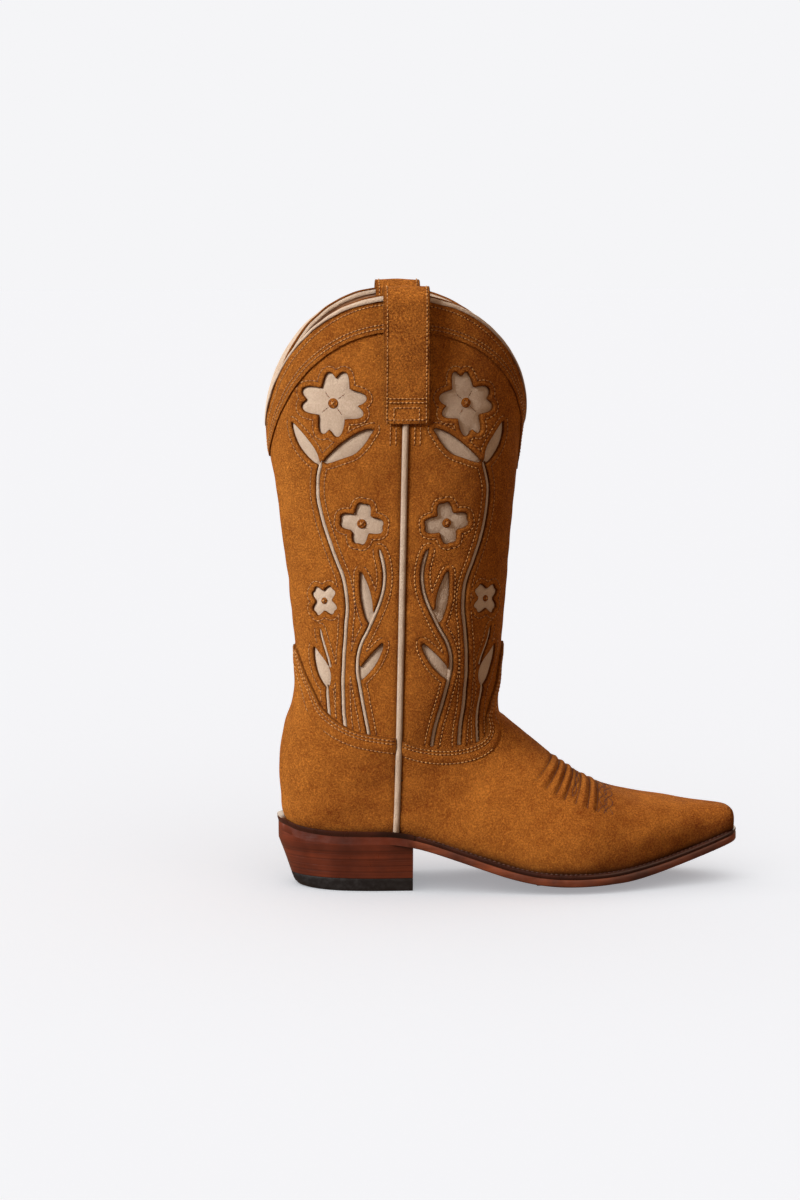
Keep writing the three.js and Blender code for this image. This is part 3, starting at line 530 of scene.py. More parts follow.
# Petals are (reach, half width, dip in the tip), the wave that varies them is (size, count, shift),
# and sewn lines are (start, end, bearing in degrees).
FLOWERS = (
    {"size": "large", "u": 44.2, "z": 304, "dot": 3.1, "petals": (20.6, 8.2, 5.6), "lean": 0.10,
     "wave": (0.9, 3, 0.7), "stretch": 0.07, "turn": 0, "sewn": (4.2, 8.6, 51)},
    {"size": "middle", "u": 25.6, "z": 231, "dot": 2.9, "petals": (13.4, 4.9, 1.0), "lean": 0,
     "wave": (0.5, 2, 1), "stretch": 0, "turn": 8, "sewn": (3.6, 5.0, 53)},
    {"size": "small", "u": 49.2, "z": 182.7, "dot": 2.0, "petals": (10.4, 3.9, 1.1), "lean": 0,
     "wave": (0.4, 2, 0), "stretch": 0, "turn": 38, "sewn": (2.4, 3.4, 83)},
)
PETAL_ROUNDING, CLEFT_WIDTH, CLEFT_POWER = 5.0, 0.14, 1.4

LEAVES = [
    [[72, 291.5], [70.6, 284.5], [66, 277], [60, 271], [54.5, 267.2], [52.4, 269.4], [54.8, 275.6],
     [60, 282], [66.5, 288]],
    [[19.2, 289], [21.4, 284.6], [25, 279], [30.5, 273.6], [38, 270.6], [47.5, 267.4], [49.2, 269.2],
     [43.6, 275.2], [36.6, 281.2], [27.8, 286.6]],
    [[25.3, 202], [25.9, 196], [25.6, 188], [24.2, 179.4], [21.2, 170.6], [19.0, 172], [17.9, 178],
     [18.6, 185.6], [21, 193.6]],
    [[11, 157.5], [11.6, 152.6], [15.4, 144], [20.6, 137.4], [24.4, 134.2], [25.6, 137], [23.8, 143],
     [19, 149.4], [14.4, 154.4]],
    [[55.6, 153.4], [55.4, 147], [53, 138.6], [49, 131.4], [45.4, 128.4], [43.4, 132], [43.2, 137.6],
     [46, 143.6], [51, 149.4]],
]
# Stems are (width, middle line).
STEMS = [
    (2.5, [[50.7, 269], [53.3, 257.6], [53.4, 248], [51.4, 237.4], [48.2, 226.4], [44.6, 217], [40.6, 207],
           [36.8, 198.6], [34.4, 189], [33.6, 179.6], [34.2, 168], [34.9, 155], [35.3, 141], [35.2, 126.4],
           [34.6, 114], [33.2, 104], [32.4, 92]]),
    (2.3, [[14.2, 215.6], [11.8, 207], [10.8, 199], [11.5, 190], [14, 181], [17, 173.4], [20.6, 165],
           [24, 158], [26.2, 149.6], [26.4, 140], [25, 131.6], [23.4, 123], [21.2, 112.4], [18.9, 102],
           [17.6, 92]]),
    (2.1, [[45.6, 130.4], [45.4, 124], [44.6, 118], [43.8, 111], [43.2, 100], [43, 92]]),
    (1.6, [[51.2, 165.4], [49.8, 159.4], [47.4, 153], [45.2, 147], [43.6, 141.6]]),
]
# How much the drawing spreads on the front panel.
SPREAD_FROM, SPREAD_OVER, SPREAD_LIMIT = 140, 160, 1.2
SPREAD_FOOT, SPREAD_LOSS, SPREAD_POWER = 1.19, 0.33, 1.6


def front_spread(z):
    rise = np.clip((z - SPREAD_FROM) / SPREAD_OVER, 0, SPREAD_LIMIT)
    return SPREAD_FOOT - SPREAD_LOSS * rise ** SPREAD_POWER


def petals(turn, tip, half_width, cleft):
    """Reach of four straight-sided petals, each with a dip in the middle of its tip."""
    around = (turn + math.pi / 4) % (math.pi / 2) - math.pi / 4
    side = half_width / np.maximum(np.abs(np.sin(around)), 0.02)
    reach = (side ** -PETAL_ROUNDING + tip ** -PETAL_ROUNDING) ** (-1 / PETAL_ROUNDING)
    return reach - cleft * np.exp(-np.abs(around / CLEFT_WIDTH) ** CLEFT_POWER)


def flower_outline(flower):
    """Closed outline of a flower with four petals."""
    turn = np.linspace(0, 2 * math.pi, 240, endpoint=False)
    size, count, shift = flower["wave"]
    reach = petals(turn - flower["lean"], *flower["petals"]) + size * np.sin(count * turn + shift)
    reach = reach * (1 + flower["stretch"] * np.cos(turn) ** 2)
    bearing = turn + math.radians(flower["turn"])
    x, z = flower["u"] + reach * np.cos(bearing), flower["z"] + reach * np.sin(bearing)
    return np.column_stack([x, z])


def leaf_outline(points):
    return smooth_curve(points, 8, closed=True)


def stem_strip(width, path):
    """The middle of a stem, and the offset to its left edge."""
    centre = evenly(smooth_curve(path, 8), 1.2)
    tangent = np.gradient(centre, axis=0)
    tangent /= np.linalg.norm(tangent, axis=1)[:, None]
    aside = np.column_stack([-tangent[:, 1], tangent[:, 0]])
    along = lengths_along(centre)
    half = 0.5 * width * np.clip(0.35 + along / 6, 0, 1)[:, None]
    return centre, aside * half


def stem_outline(width, path):
    centre, half = stem_strip(width, path)
    return np.vstack([centre + half, (centre - half)[::-1]])


def drawing(end):
    """The closed outlines of the cut-outs, for the front or the back of the shaft."""
    outlines = [flower_outline(flower) for flower in FLOWERS]
    outlines += [leaf_outline(leaf) for leaf in LEAVES]
    outlines += [stem_outline(width, path) for width, path in STEMS]
    return [spread(outline, end) for outline in outlines]


def spread(points, end):
    points = np.array(points, float)
    if end > 0:
        points[:, 0] *= front_spread(points[:, 1])
    return points


def distance_to_line(points, line, closed=False, reach=None):
    """Distance from each point to a polyline.

    Points further than reach from its box get a large value."""
    line = np.asarray(line, float)
    ends = np.roll(line, -1, 0) if closed else line[1:]
    starts = line if closed else line[:-1]
    result = np.full(len(points), 1e3)
    near = np.arange(len(points))
    if reach is not None:
        inside = np.all((points > line.min(0) - reach) & (points < line.max(0) + reach), axis=1)
        near = near[inside]
    along = ends - starts
    square = np.maximum(np.sum(along ** 2, 1), 1e-12)
    for start in range(0, len(near), 2000):
        part = near[start:start + 2000]
        gap = points[part][:, None, :] - starts[None]
        share = np.clip(np.sum(gap * along[None], 2) / square, 0, 1)
        result[part] = np.sqrt(np.sum((gap - share[..., None] * along[None]) ** 2, 2)).min(1)
    return result


def inside_outline(points, outline):
    """True where a point lies inside a closed outline."""
    x, y = points.T
    result = np.zeros(len(points), bool)
    low, high = outline.min(0), outline.max(0)
    near = np.flatnonzero((x > low[0]) & (x < high[0]) & (y > low[1]) & (y < high[1]))
    px, py = x[near, None], y[near, None]
    (ax, ay), (bx, by) = outline.T, np.roll(outline, -1, 0).T
    crosses = (ay > py) != (by > py)
    at = ax + (py - ay) / np.where(by == ay, 1e-12, by - ay) * (bx - ax)
    result[near] = np.sum(crosses & (px < at), 1) % 2 == 1
    return result


def outside_distance(points, outlines, reach=7.0):
    """Signed distance to the union of closed outlines: negative inside, at most about reach."""
    best = np.full(len(points), reach)
    for outline in outlines:
        gap = distance_to_line(points, outline, closed=True, reach=reach)
        gap = np.where(inside_outline(points, outline), -gap, gap)
        best = np.minimum(best, gap)
    return best


# ---------- stitches ----------

STITCH_PITCH, STITCH_SHARE, STITCH_HALF_WIDTH, STITCH_HALF_HEIGHT = 2.6, 0.70, 0.33, 0.26
HOLE_HALF_LENGTH, HOLE_HALF_WIDTH, HOLE_LIFT, HOLE_TOP = 0.34, 0.40, 0.10, 0.24
# Rings of a stitch: place from end to end, size, lift.
STITCH_SHAPE = ((-1.0, 0.45, -0.42), (-0.8, 0.9, -0.05), (-0.3, 1.0, 0.14), (0.3, 1.0, 0.14),
                (0.8, 0.9, -0.05), (1.0, 0.45, -0.42))
RING = 6


def sew(name, seams, material, pitch=STITCH_PITCH, body=BOOT, width=1.0):
    """All the stitches of some seams, with the needle holes between them, as one piece.

    Each seam is a polyline and its outward directions."""
    begins, ends, normals, holes = [], [], [], []
    for line, out in seams:
        whole = np.hstack([line, out])
        if len(whole) < 2:
            continue
        along = lengths_along(line)
        count = int(along[-1] / pitch)
        if count < 1:
            continue
        step = along[-1] / count
        begin = (np.arange(count) + (1 - STITCH_SHARE) / 2) * step
        first = values_along(begin, along, whole)
        last = values_along(begin + STITCH_SHARE * step, along, whole)
        with_heading = np.hstack([whole, np.gradient(line, axis=0)])
        holes.append(values_along(np.arange(count + 1) * step, along, with_heading))
        begins.append(first[:, :3])
        ends.append(last[:, :3])
        normals.append((first + last)[:, 3:])
    begin, end, up = np.vstack(begins), np.vstack(ends), np.vstack(normals)
    count = len(begin)
    ahead = end - begin
    length = np.linalg.norm(ahead, axis=1)[:, None]
    ahead /= length
    up -= np.sum(up * ahead, 1)[:, None] * ahead
    up /= np.linalg.norm(up, axis=1)[:, None]
    aside = np.cross(up, ahead)
    middle = (begin + end) / 2
    turns = np.linspace(0, 2 * math.pi, RING, endpoint=False)
    rings = []
    for at, size, lift in STITCH_SHAPE:
        centre = middle + ahead * length / 2 * at + up * lift
        for turn in turns:
            rings.append(centre + aside * (STITCH_HALF_WIDTH * width * size * math.cos(turn))
                         + up * (STITCH_HALF_HEIGHT * width * size * math.sin(turn)))
    points = np.stack(rings, 1)
    per = points.shape[1]
    faces = []
    for ring in range(len(STITCH_SHAPE) - 1):
        for k in range(RING):
            n = (k + 1) % RING
            faces.append([ring * RING + k, ring * RING + n, (ring + 1) * RING + n, (ring + 1) * RING + k])
    faces = np.array(faces)
    quads = (faces[None] + per * np.arange(count)[:, None, None]).reshape(-1, 4)
    cap = np.arange(RING)
    caps = np.concatenate([
        (cap[::-1][None] + per * np.arange(count)[:, None]),
        ((cap + per - RING)[None] + per * np.arange(count)[:, None]),
    ])
    hole_points, hole_faces = needle_holes(np.vstack(holes), width)
    # Painted shade: the needle holes get shade 0, which the thread material turns dark.
    shade = np.concatenate([np.ones(count * per), np.zeros(len(hole_points))])
    everything = np.vstack([points.reshape(-1, 3), hole_points])
    faces = quads.tolist() + caps.tolist() + (hole_faces + count * per).tolist()
    piece = make_piece(name, everything, faces, material, body=body, shade=shade, crease=80)
    return piece


def values_along(at, along, table):
    return np.column_stack([np.interp(at, along, column) for column in table.T])


def needle_holes(rows, width):
    """Small dimples coloured dark as painted shade in the needle holes: each row holds a place, the outward
    direction and the seam's direction.
    """
    centre, up, ahead = rows[:, :3], rows[:, 3:6], rows[:, 6:]
    up = up / np.linalg.norm(up, axis=1)[:, None]
    ahead = ahead - np.sum(ahead * up, 1)[:, None] * up
    ahead /= np.linalg.norm(ahead, axis=1)[:, None]
    aside = np.cross(up, ahead)
    ring = [centre + up * HOLE_LIFT + ahead * (HOLE_HALF_LENGTH * width * math.cos(turn))
            + aside * (HOLE_HALF_WIDTH * width * math.sin(turn))
            for turn in np.linspace(0, 2 * math.pi, RING, endpoint=False)]
    points = np.stack(ring + [centre + up * HOLE_TOP, centre - up * HOLE_TOP], 1)
    faces = []
    for k in range(RING):
        n = (k + 1) % RING
        faces.append([k, n, RING])
        faces.append([n, k, RING + 1])
    per = points.shape[1]
    faces = np.array(faces)[None] + per * np.arange(len(centre))[:, None, None]
    return points.reshape(-1, 3), faces.reshape(-1, 3)


def runs(keep):
    """Slices of the unbroken stretches where keep is true."""
    edges = np.flatnonzero(np.diff(np.concatenate([[0], keep.astype(int), [0]])))
    return [slice(a, b) for a, b in zip(edges[::2], edges[1::2]) if b - a > 2]


# ---------- materials ----------

def srgb(red, green, blue):
    """Linear colour from 0-255 screen values."""
    scaled = [channel / 255 for channel in (red, green, blue)]
    return [c / 12.92 if c <= 0.04045 else ((c + 0.055) / 1.055) ** 2.4 for c in scaled] + [1.0]


class Nodes:
    """A material under construction, with short calls for the nodes it needs."""

    def __init__(self, name):
        self.material = bpy.data.materials.new(name)
        self.material.use_nodes = True
        self.tree = self.material.node_tree
        self.shader = self.tree.nodes["Principled BSDF"]
        self.where = self.tree.nodes.new("ShaderNodeTexCoord").outputs["Object"]

    def put(self, value, socket):
        if isinstance(value, bpy.types.NodeSocket):
            self.tree.links.new(value, socket)
        else:
            socket.default_value = value

    def stretched(self, scale):
        mapping = self.tree.nodes.new("ShaderNodeMapping")
        mapping.inputs["Scale"].default_value = scale
        self.tree.links.new(self.where, mapping.inputs["Vector"])
        return mapping.outputs["Vector"]

    def noise(self, scale, detail=3.0, roughness=0.55, where=None):
        noise = self.tree.nodes.new("ShaderNodeTexNoise")
        self.tree.links.new(where or self.where, noise.inputs["Vector"])
        noise.inputs["Scale"].default_value = scale
        noise.inputs["Detail"].default_value = detail
        noise.inputs["Roughness"].default_value = roughness
        return noise.outputs["Fac"]

    def cells(self, scale):
        cells = self.tree.nodes.new("ShaderNodeTexVoronoi")
        self.tree.links.new(self.where, cells.inputs["Vector"])
        cells.inputs["Scale"].default_value = scale
        return cells.outputs["Distance"]

    def between(self, value, low, high, out_low=0.0, out_high=1.0):
        ranged = self.tree.nodes.new("ShaderNodeMapRange")
        self.put(value, ranged.inputs["Value"])
        for key, number in (("From Min", low), ("From Max", high), ("To Min", out_low), ("To Max", out_high)):
            ranged.inputs[key].default_value = number
        return ranged.outputs["Result"]

    def math(self, operation, a, b):
        node = self.tree.nodes.new("ShaderNodeMath")
        node.operation = operation
        self.put(a, node.inputs[0])
        self.put(b, node.inputs[1])
        return node.outputs[0]

    def mix(self, share, a, b, kind="MIX"):
        node = self.tree.nodes.new("ShaderNodeMix")
        node.data_type = "RGBA"
        node.blend_type = kind
        self.put(share, node.inputs["Factor"])
        self.put(a, node.inputs["A"])
        self.put(b, node.inputs["B"])
        return node.outputs["Result"]

    def along_x(self):
        node = self.tree.nodes.new("ShaderNodeSeparateXYZ")
        self.tree.links.new(self.where, node.inputs[0])
        return node.outputs["X"]

    def shade(self):
        node = self.tree.nodes.new("ShaderNodeAttribute")
        node.attribute_name = "shade"
        return node.outputs["Fac"]

    def bump(self, height, strength, distance, below=None):
        node = self.tree.nodes.new("ShaderNodeBump")
        node.inputs["Strength"].default_value = strength
        node.inputs["Distance"].default_value = distance
        self.tree.links.new(height, node.inputs["Height"])
        if below is not None:
            self.tree.links.new(below, node.inputs["Normal"])
        return node.outputs["Normal"]

    def finish(self, **values):
        for key, value in values.items():
            self.put(value, self.shader.inputs[key.replace("_", " ")])
        return self.material


def suede(name, light, dark, sheen, painted_shade_colour, grain=1.0):
    """Brushed suede: nap fibres and patches where the nap lies the other way; where the shade attribute is
    low, painted shade darkens it at cut edges, grooves and seams.
    """
    n = Nodes(name)
    patches = n.between(n.noise(24, 3.0), 0.32, 0.68)
    mottle = n.between(n.noise(130, 3.0), 0.32, 0.68)
    nap = n.between(n.noise(900, 4.0, 0.85), 0.4, 0.6)
    fibre = n.between(n.noise(2600, 2.0, 0.6), 0.3, 0.7)
    blend = n.math("ADD", n.math("MULTIPLY", patches, 0.22), n.math("MULTIPLY", mottle, 0.22))
    blend = n.math("ADD", blend, n.math("MULTIPLY", nap, 0.56 * grain))
    blend = n.math("ADD", blend, n.math("MULTIPLY", fibre, 0.2))
    blend = n.math("ADD", blend, 0.28 * (1 - grain) - 0.04)
    colour = n.mix(blend, dark, light)
    # Painted shade: where the shade attribute is low, the colour is mixed towards the given dark colour.
    colour = n.mix(n.shade(), painted_shade_colour, colour)
    rough = n.bump(n.noise(420, 3.0, 0.6), 0.45 * grain, 0.0009)
    nap_bump = n.bump(n.math("ADD", nap, n.math("MULTIPLY", fibre, 0.5)), min(1.0, grain), 0.0010, rough)
    return n.finish(Base_Color=colour, Roughness=0.93, Normal=nap_bump, Sheen_Weight=sheen,
                    Sheen_Roughness=0.45, Sheen_Tint=light, Specular_IOR_Level=0.1)


def smooth_leather(name, light, dark, roughness, coat=0.0, grain=700.0, mottle=60.0, depth=0.0002):
    """Finished leather with a fine grain, soft colour patches and a dull or waxed surface."""
    n = Nodes(name)
    patches = n.between(n.noise(mottle, 4.0), 0.32, 0.68)
    pores = n.cells(grain)
    colour = n.mix(patches, dark, light)
    colour = n.mix(n.between(pores, 0.0, 0.5, 0.25, 0.0), colour, dark)
    wear = n.between(n.noise(mottle * 3, 3.0), 0.3, 0.7, roughness - 0.08, roughness + 0.1)
    normal = n.bump(pores, 0.4, depth, n.bump(n.noise(mottle * 2, 3.0), 0.3, 0.0005))
    return n.finish(Base_Color=colour, Roughness=wear, Normal=normal, Coat_Weight=coat, Coat_Roughness=0.3,
                    Specular_IOR_Level=0.4)


def stacked_leather(name):
    """The polished side of stacked lifts: fine level lines and a waxed, uneven dye."""
    n = Nodes(name)
    lines = n.noise(1.0, 3.0, 0.7, n.stretched((14, 14, 1500)))
    bands = n.noise(1.0, 2.0, 0.5, n.stretched((9, 9, 300)))
    clouds = n.between(n.noise(38, 4.0), 0.3, 0.7)
    colour = n.mix(clouds, srgb(70, 26, 14), srgb(112, 48, 26))
    colour = n.mix(n.between(bands, 0.35, 0.65, 0.0, 0.4), colour, srgb(58, 22, 13))
    colour = n.mix(n.between(lines, 0.45, 0.72, 0.0, 0.5), colour, srgb(44, 16, 10))
    colour = n.mix(n.shade(), srgb(22, 9, 6), colour)
    normal = n.bump(lines, 0.35, 0.0003, n.bump(n.noise(90, 3.0), 0.2, 0.0006))
    roughness = n.between(n.noise(120, 3.0), 0.3, 0.7, 0.26, 0.42)
    return n.finish(Base_Color=colour, Roughness=roughness, Normal=normal, Coat_Weight=0.35,
                    Coat_Roughness=0.22)


def sole_edge(name):
    """Outsole leather: a burnished, mottled edge in red-brown."""
    n = Nodes(name)
    streaks = n.noise(1.0, 4.0, 0.65, n.stretched((40, 40, 420)))
    clouds = n.between(n.noise(34, 4.0), 0.32, 0.68)
    colour = n.mix(clouds, srgb(58, 24, 15), srgb(126, 64, 38))
    colour = n.mix(n.between(streaks, 0.4, 0.7, 0.0, 0.6), colour, srgb(52, 21, 13))
    heel_side = n.between(n.along_x(), (HEEL_BREAST + 2) * MM, (HEEL_BREAST - 6) * MM)
    colour = n.mix(heel_side, colour, n.mix(clouds, srgb(62, 23, 13), srgb(100, 42, 23)))
    normal = n.bump(streaks, 0.3, 0.0004, n.bump(n.noise(160, 3.0), 0.3, 0.0005))
    roughness = n.between(n.noise(200, 3.0), 0.3, 0.7, 0.32, 0.52)
    return n.finish(Base_Color=colour, Roughness=roughness, Normal=normal, Coat_Weight=0.2,
                    Coat_Roughness=0.3)


def thread(name, light, dark):
    """Twisted sewing thread."""
    n = Nodes(name)
    twist = n.noise(1500, 2.0)
    tone = n.between(n.noise(300, 2.0), 0.3, 0.7)
    # Painted shade: needle holes, whose shade is 0, take a dark brown.
    colour = n.mix(n.shade(), srgb(58, 22, 5), n.mix(tone, dark, light))
    return n.finish(Base_Color=colour, Roughness=0.6, Normal=n.bump(twist, 0.5, 0.0002))


def rubber(name):
    n = Nodes(name)
    scuffs = n.between(n.noise(240, 4.0, 0.7), 0.45, 0.75)
    colour = n.mix(scuffs, srgb(13, 12, 13), srgb(29, 27, 27))
    normal = n.bump(n.noise(900, 3.0), 0.3, 0.0003)
    return n.finish(Base_Color=colour, Roughness=n.between(scuffs, 0, 1, 0.5, 0.72), Normal=normal)


def metal(name, colour, roughness):
    n = Nodes(name)
    brushed = n.noise(1.0, 3.0, 0.6, n.stretched((1800, 120, 120)))
    worn = n.between(brushed, 0.3, 0.7, roughness - 0.1, roughness + 0.12)
    return n.finish(Base_Color=n.mix(n.between(brushed, 0.3, 0.7, 0.0, 0.3), colour, srgb(70, 66, 62)),
                    Metallic=1.0, Roughness=worn, Normal=n.bump(brushed, 0.2, 0.0001))


def grained(name, light, dark, scale, stretch):
    """Cork, wood or fibre board: two tones over a stretched grain."""
    n = Nodes(name)
    grain = n.noise(scale, 5.0, 0.7, n.stretched(stretch))
    return n.finish(Base_Color=n.mix(n.between(grain, 0.35, 0.65), dark, light), Roughness=0.85,
                    Normal=n.bump(grain, 0.5, 0.0004))


# The last colour of each suede is the dark colour of its painted shade.
TAN = suede("tan_suede", srgb(236, 148, 58), srgb(124, 48, 6), 0.08, srgb(44, 13, 2))
STRAP_TAN = suede("strap_suede", srgb(240, 150, 60), srgb(108, 40, 5), 0.08, srgb(44, 13, 2), grain=1.25)
CREAM = suede("cream_suede", srgb(220, 200, 178), srgb(180, 154, 130), 0.08, srgb(104, 66, 42), grain=0.6)
LINING = smooth_leather("lining_leather", srgb(184, 146, 116), srgb(146, 108, 82), 0.7)
INSOLE = smooth_leather("insole_leather", srgb(208, 172, 132), srgb(176, 138, 98), 0.7)
WELT = smooth_leather("welt_leather", srgb(60, 25, 15), srgb(27, 10, 6), 0.3, coat=0.3, mottle=45,
                      depth=0.0001)
SOLE = sole_edge("sole_leather")
STACK = stacked_leather("stacked_leather")
CAP = rubber("black_rubber")
TAN_THREAD = thread("tan_thread", srgb(204, 150, 84), srgb(150, 92, 38))
DARK_THREAD = thread("dark_thread", srgb(132, 72, 26), srgb(84, 40, 12))
WELT_THREAD = thread("welt_thread", srgb(86, 50, 34), srgb(52, 28, 18))
STEEL = metal("spring_steel", srgb(190, 192, 196), 0.35)
BRASS = metal("nail_brass", srgb(196, 160, 92), 0.35)
WOOD = grained("peg_wood", srgb(226, 196, 150), srgb(190, 152, 104), 90, (4, 4, 1))
CORK = grained("cork", srgb(196, 152, 104), srgb(140, 98, 60), 400, (1, 1, 1))
BOARD = grained("stiff_board", srgb(190, 150, 104), srgb(150, 112, 72), 500, (1, 1, 1))


# ---------- the shaft ----------

GROOVE_AT, FRONT_STEM_SUNK = 3.5, 0.5
STRAP_STAY_ROWS = (5.6, 9.0)


def seam_limit(chart):
    """Distance in leather from the seam's middle, less half the piping."""
    return lambda places: chart.leather(places)[:, 0] - PIPING_HALF + 0.1


def shaft_relief(places, chart, gap):
    """How far the face stands out, and its shade, at places of the shaft chart."""
    leather = chart.leather(places)
    edge = np.exp(-np.clip(gap, 0, 9) / 0.45)
    groove = np.exp(-((gap - GROOVE_AT) / 0.7) ** 2)
    puff = np.exp(-((gap - 1.8) / 0.9) ** 2)
    seam_gap = leather[:, 0] - PIPING_HALF
    seam_roll = np.exp(-np.clip(seam_gap, 0, 9) / 0.8)
    depth = -0.5 * edge - 0.32 * groove + 0.16 * puff - 0.5 * seam_roll
    shade = 1 - 0.75 * edge - 0.22 * groove - 0.5 * seam_roll
    return depth, shade


def ankle_creases(points):
    """Soft waves where the shaft meets the foot, deepest at the back of the ankle."""
    low = np.exp(-((points[:, 2] - 128) / 26) ** 2)
    behind = smoothstep(-points[:, 0], -20, 30)
    front = smoothstep(points[:, 0], 55, 88)
    wave = np.sin(points[:, 2] / 6.5 + 0.03 * points[:, 0] + 0.8 * np.sin(points[:, 1] / 23))
    return low * (0.55 * behind + 0.35 * front) * wave


def unevenness(points):
    return 0.42 * ripple(points, 46, 3) + 0.16 * ripple(points, 17, 8)


def add_shaft(end_name):
    chart = CHARTS[end_name]
    outlines = drawing(chart.end)
    sheet = Sheet(np.linspace(0, 1, 82), np.arange(80.0, 372.0, 1.3))
    sheet.trim(lambda p: mouth_height(chart.angle_at(p)) - 3.6 - p[:, 1])
    sheet.trim(lambda p: p[:, 1] - shaft_foot_height(chart.angle_at(p)))
    sheet.trim(seam_limit(chart))
    gap = sheet.carry(lambda p: outside_distance(chart.leather(p), outlines))
    sheet.trim(gap)
    for level in (0.35, 1.0, 2.7, 3.5, 4.3):
        sheet.score(gap, level)
    places, tris, side = weld_sides(sheet)
    face = chart.layer(places, 0, side)
    depth, shade = shaft_relief(places, chart, gap(places))
    depth += unevenness(face) + ankle_creases(face)
    outside = chart.layer(places, SHAFT_OUTSIDE + depth, side)
    inside = chart.layer(places, np.minimum(SHAFT_INSIDE + 0.6 * depth, depth - 0.9), side)
    piece = thick_piece(f"shaft_{end_name}_suede", tris, outside, inside, TAN, shade, crease=60)
    stand_for(piece, f"shaft_{end_name}")
    add_flower_stitches(end_name, chart, outlines)


def surface_lines(chart, uv, side, lift):
    """A line of drawing places on the shaft, with its outward directions."""
    low = chart.drawn(uv, SHAFT_OUTSIDE, side)
    lift = lift + unevenness(low) + ankle_creases(low)
    base = chart.drawn(uv, lift, side)
    return base, chart.drawn(uv, lift + 1.0, side) - base


def add_flower_stitches(end_name, chart, outlines):
    lines = {-1: [], 1: []}
    for outline in outlines:
        closed = evenly(np.vstack([outline, outline[:1]]), 0.6)
        tangent = np.gradient(closed, axis=0)
        normal = np.column_stack([tangent[:, 1], -tangent[:, 0]])
        normal /= np.maximum(np.linalg.norm(normal, axis=1), 1e-9)[:, None]
        if inside_outline((closed + 0.4 * normal)[:len(closed) // 2], outline).mean() > 0.5:
            normal = -normal
        offset = closed + GROOVE_AT * normal
        angle = chart.angle(chart.share_at(offset[:, 0], offset[:, 1]), offset[:, 1])
        good = outside_distance(offset, outlines) > GROOVE_AT - 0.16
        good &= offset[:, 1] < collar_edge_height(angle) - 1.0
        good &= offset[:, 1] > vamp_edge_height(angle) + 0.8
        good &= (offset[:, 0] > PIPING_HALF + 1.5) & (offset[:, 0] < chart.full_width(offset[:, 1]))
        for part in runs(good):
            for side in (-1, 1):
                lines[side].append(surface_lines(chart, offset[part], side, -0.14))
    for across in STRAP_STAY_ROWS:
        row = evenly(np.array([[across, STRAP_FOOT - 13.0], [across, STRAP_FOOT + 1.0]]), 0.8)
        for side in (-1, 1):
            lines[side].append(surface_lines(chart, row, side, 0.1))
    for side_name, side in SIDES.items():
        sew(f"flower_stitches_{end_name}_{side_name}", lines[side], TAN_THREAD)


def add_inlay(end_name, side_name):
    chart, side = CHARTS[end_name], SIDES[side_name]
    outlines = drawing(chart.end)
    sheet = Sheet(np.linspace(0.03, 0.97, 64), np.arange(96.0, 330.0, 1.7))
    sheet.trim(lambda p: collar_edge_height(chart.angle_at(p)) + 8 - p[:, 1])
    gap = sheet.carry(lambda p: outside_distance(chart.leather(p), outlines))
    sheet.score(gap, 0.3)
    sheet.trim(lambda p: 6.5 - gap(p))
    places = sheet.places
    away = gap(places)
    pillow = 0.35 * smoothstep(-away, 0.2, 2.5)
    shade = 0.72 + 0.28 * smoothstep(-away, -0.3, 1.1)
    lines = petal_lines(chart.end)
    leather = chart.leather(places)
    sheet_depth = INLAY_OUTSIDE + pillow
    for line in lines:
        near = distance_to_line(leather, line, reach=3)
        sheet_depth = sheet_depth - 0.3 * np.exp(-(near / 0.8) ** 2)
    face = chart.layer(places, 0, side)
    uneven = unevenness(face) + ankle_creases(face)
    outside = chart.layer(places, sheet_depth + uneven, side)
    inside = chart.layer(places, INLAY_INSIDE + uneven, side)
    name = f"{end_name}_{side_name}"
    piece = thick_piece(f"inlay_{name}_suede", sheet.tris, outside, inside, CREAM, shade)
    stand_for(piece, f"inlay_{name}")
    on_cream = [surface_lines(chart, evenly(line, 0.8), side, INLAY_OUTSIDE + 0.12) for line in lines]
    sew(f"petal_stitches_{name}", on_cream, DARK_THREAD, pitch=2.0, width=0.8)
    for flower in FLOWERS:
        add_flower_centre(flower, chart, side, name)
    for number, (width, path) in enumerate(STEMS):
        add_stem(f"stem_{number + 1}_{name}", width, path, chart, side)


def add_stem(name, width, path, chart, side):
    """The cream suede of a stem, which stands up between the cut edges like a cord."""
    # Profile rows are (across, depth, tone); the tone is painted shade, darker down the sides where the cord
    # sinks under the cut edges.
    left = [(-1.0, -1.9, 0.3), (-0.98, -1.0, 0.5), (-0.8, -0.6, 0.8), (-0.4, -0.38, 1)]
    profile = left + [(0.0, -0.3, 1)] + [(-across, depth, tone) for across, depth, tone in left[::-1]]
    centre, half = stem_strip(width - 0.1, path)
    sunk = FRONT_STEM_SUNK if chart.end > 0 else 0.0
    grid = []
    for across, depth, _ in profile:
        uv = spread(centre + across * half, chart.end)
        face = chart.drawn(uv, 0, side)
        grid.append(chart.drawn(uv, depth - sunk + unevenness(face) + ankle_creases(face), side))
    shade = np.tile([tone for _, _, tone in profile], (len(centre), 1))
    piece = wrapped_surface(f"{name}_suede", np.array(grid).transpose(1, 0, 2), CREAM, shade)


def petal_lines(end):
    """The sewn lines between the petals, from beside the centre to the notches."""
    lines = []
    for flower in FLOWERS:
        start, reach, turn = flower["sewn"]
        for quarter in range(4):
            bearing = math.radians(turn + 90 * quarter)
            ray = np.array([[math.cos(bearing), math.sin(bearing)]])
            centre = np.array([[flower["u"], flower["z"]]])
            lines.append(spread(centre + ray * np.linspace(start, reach, 6)[:, None], end))
    return lines


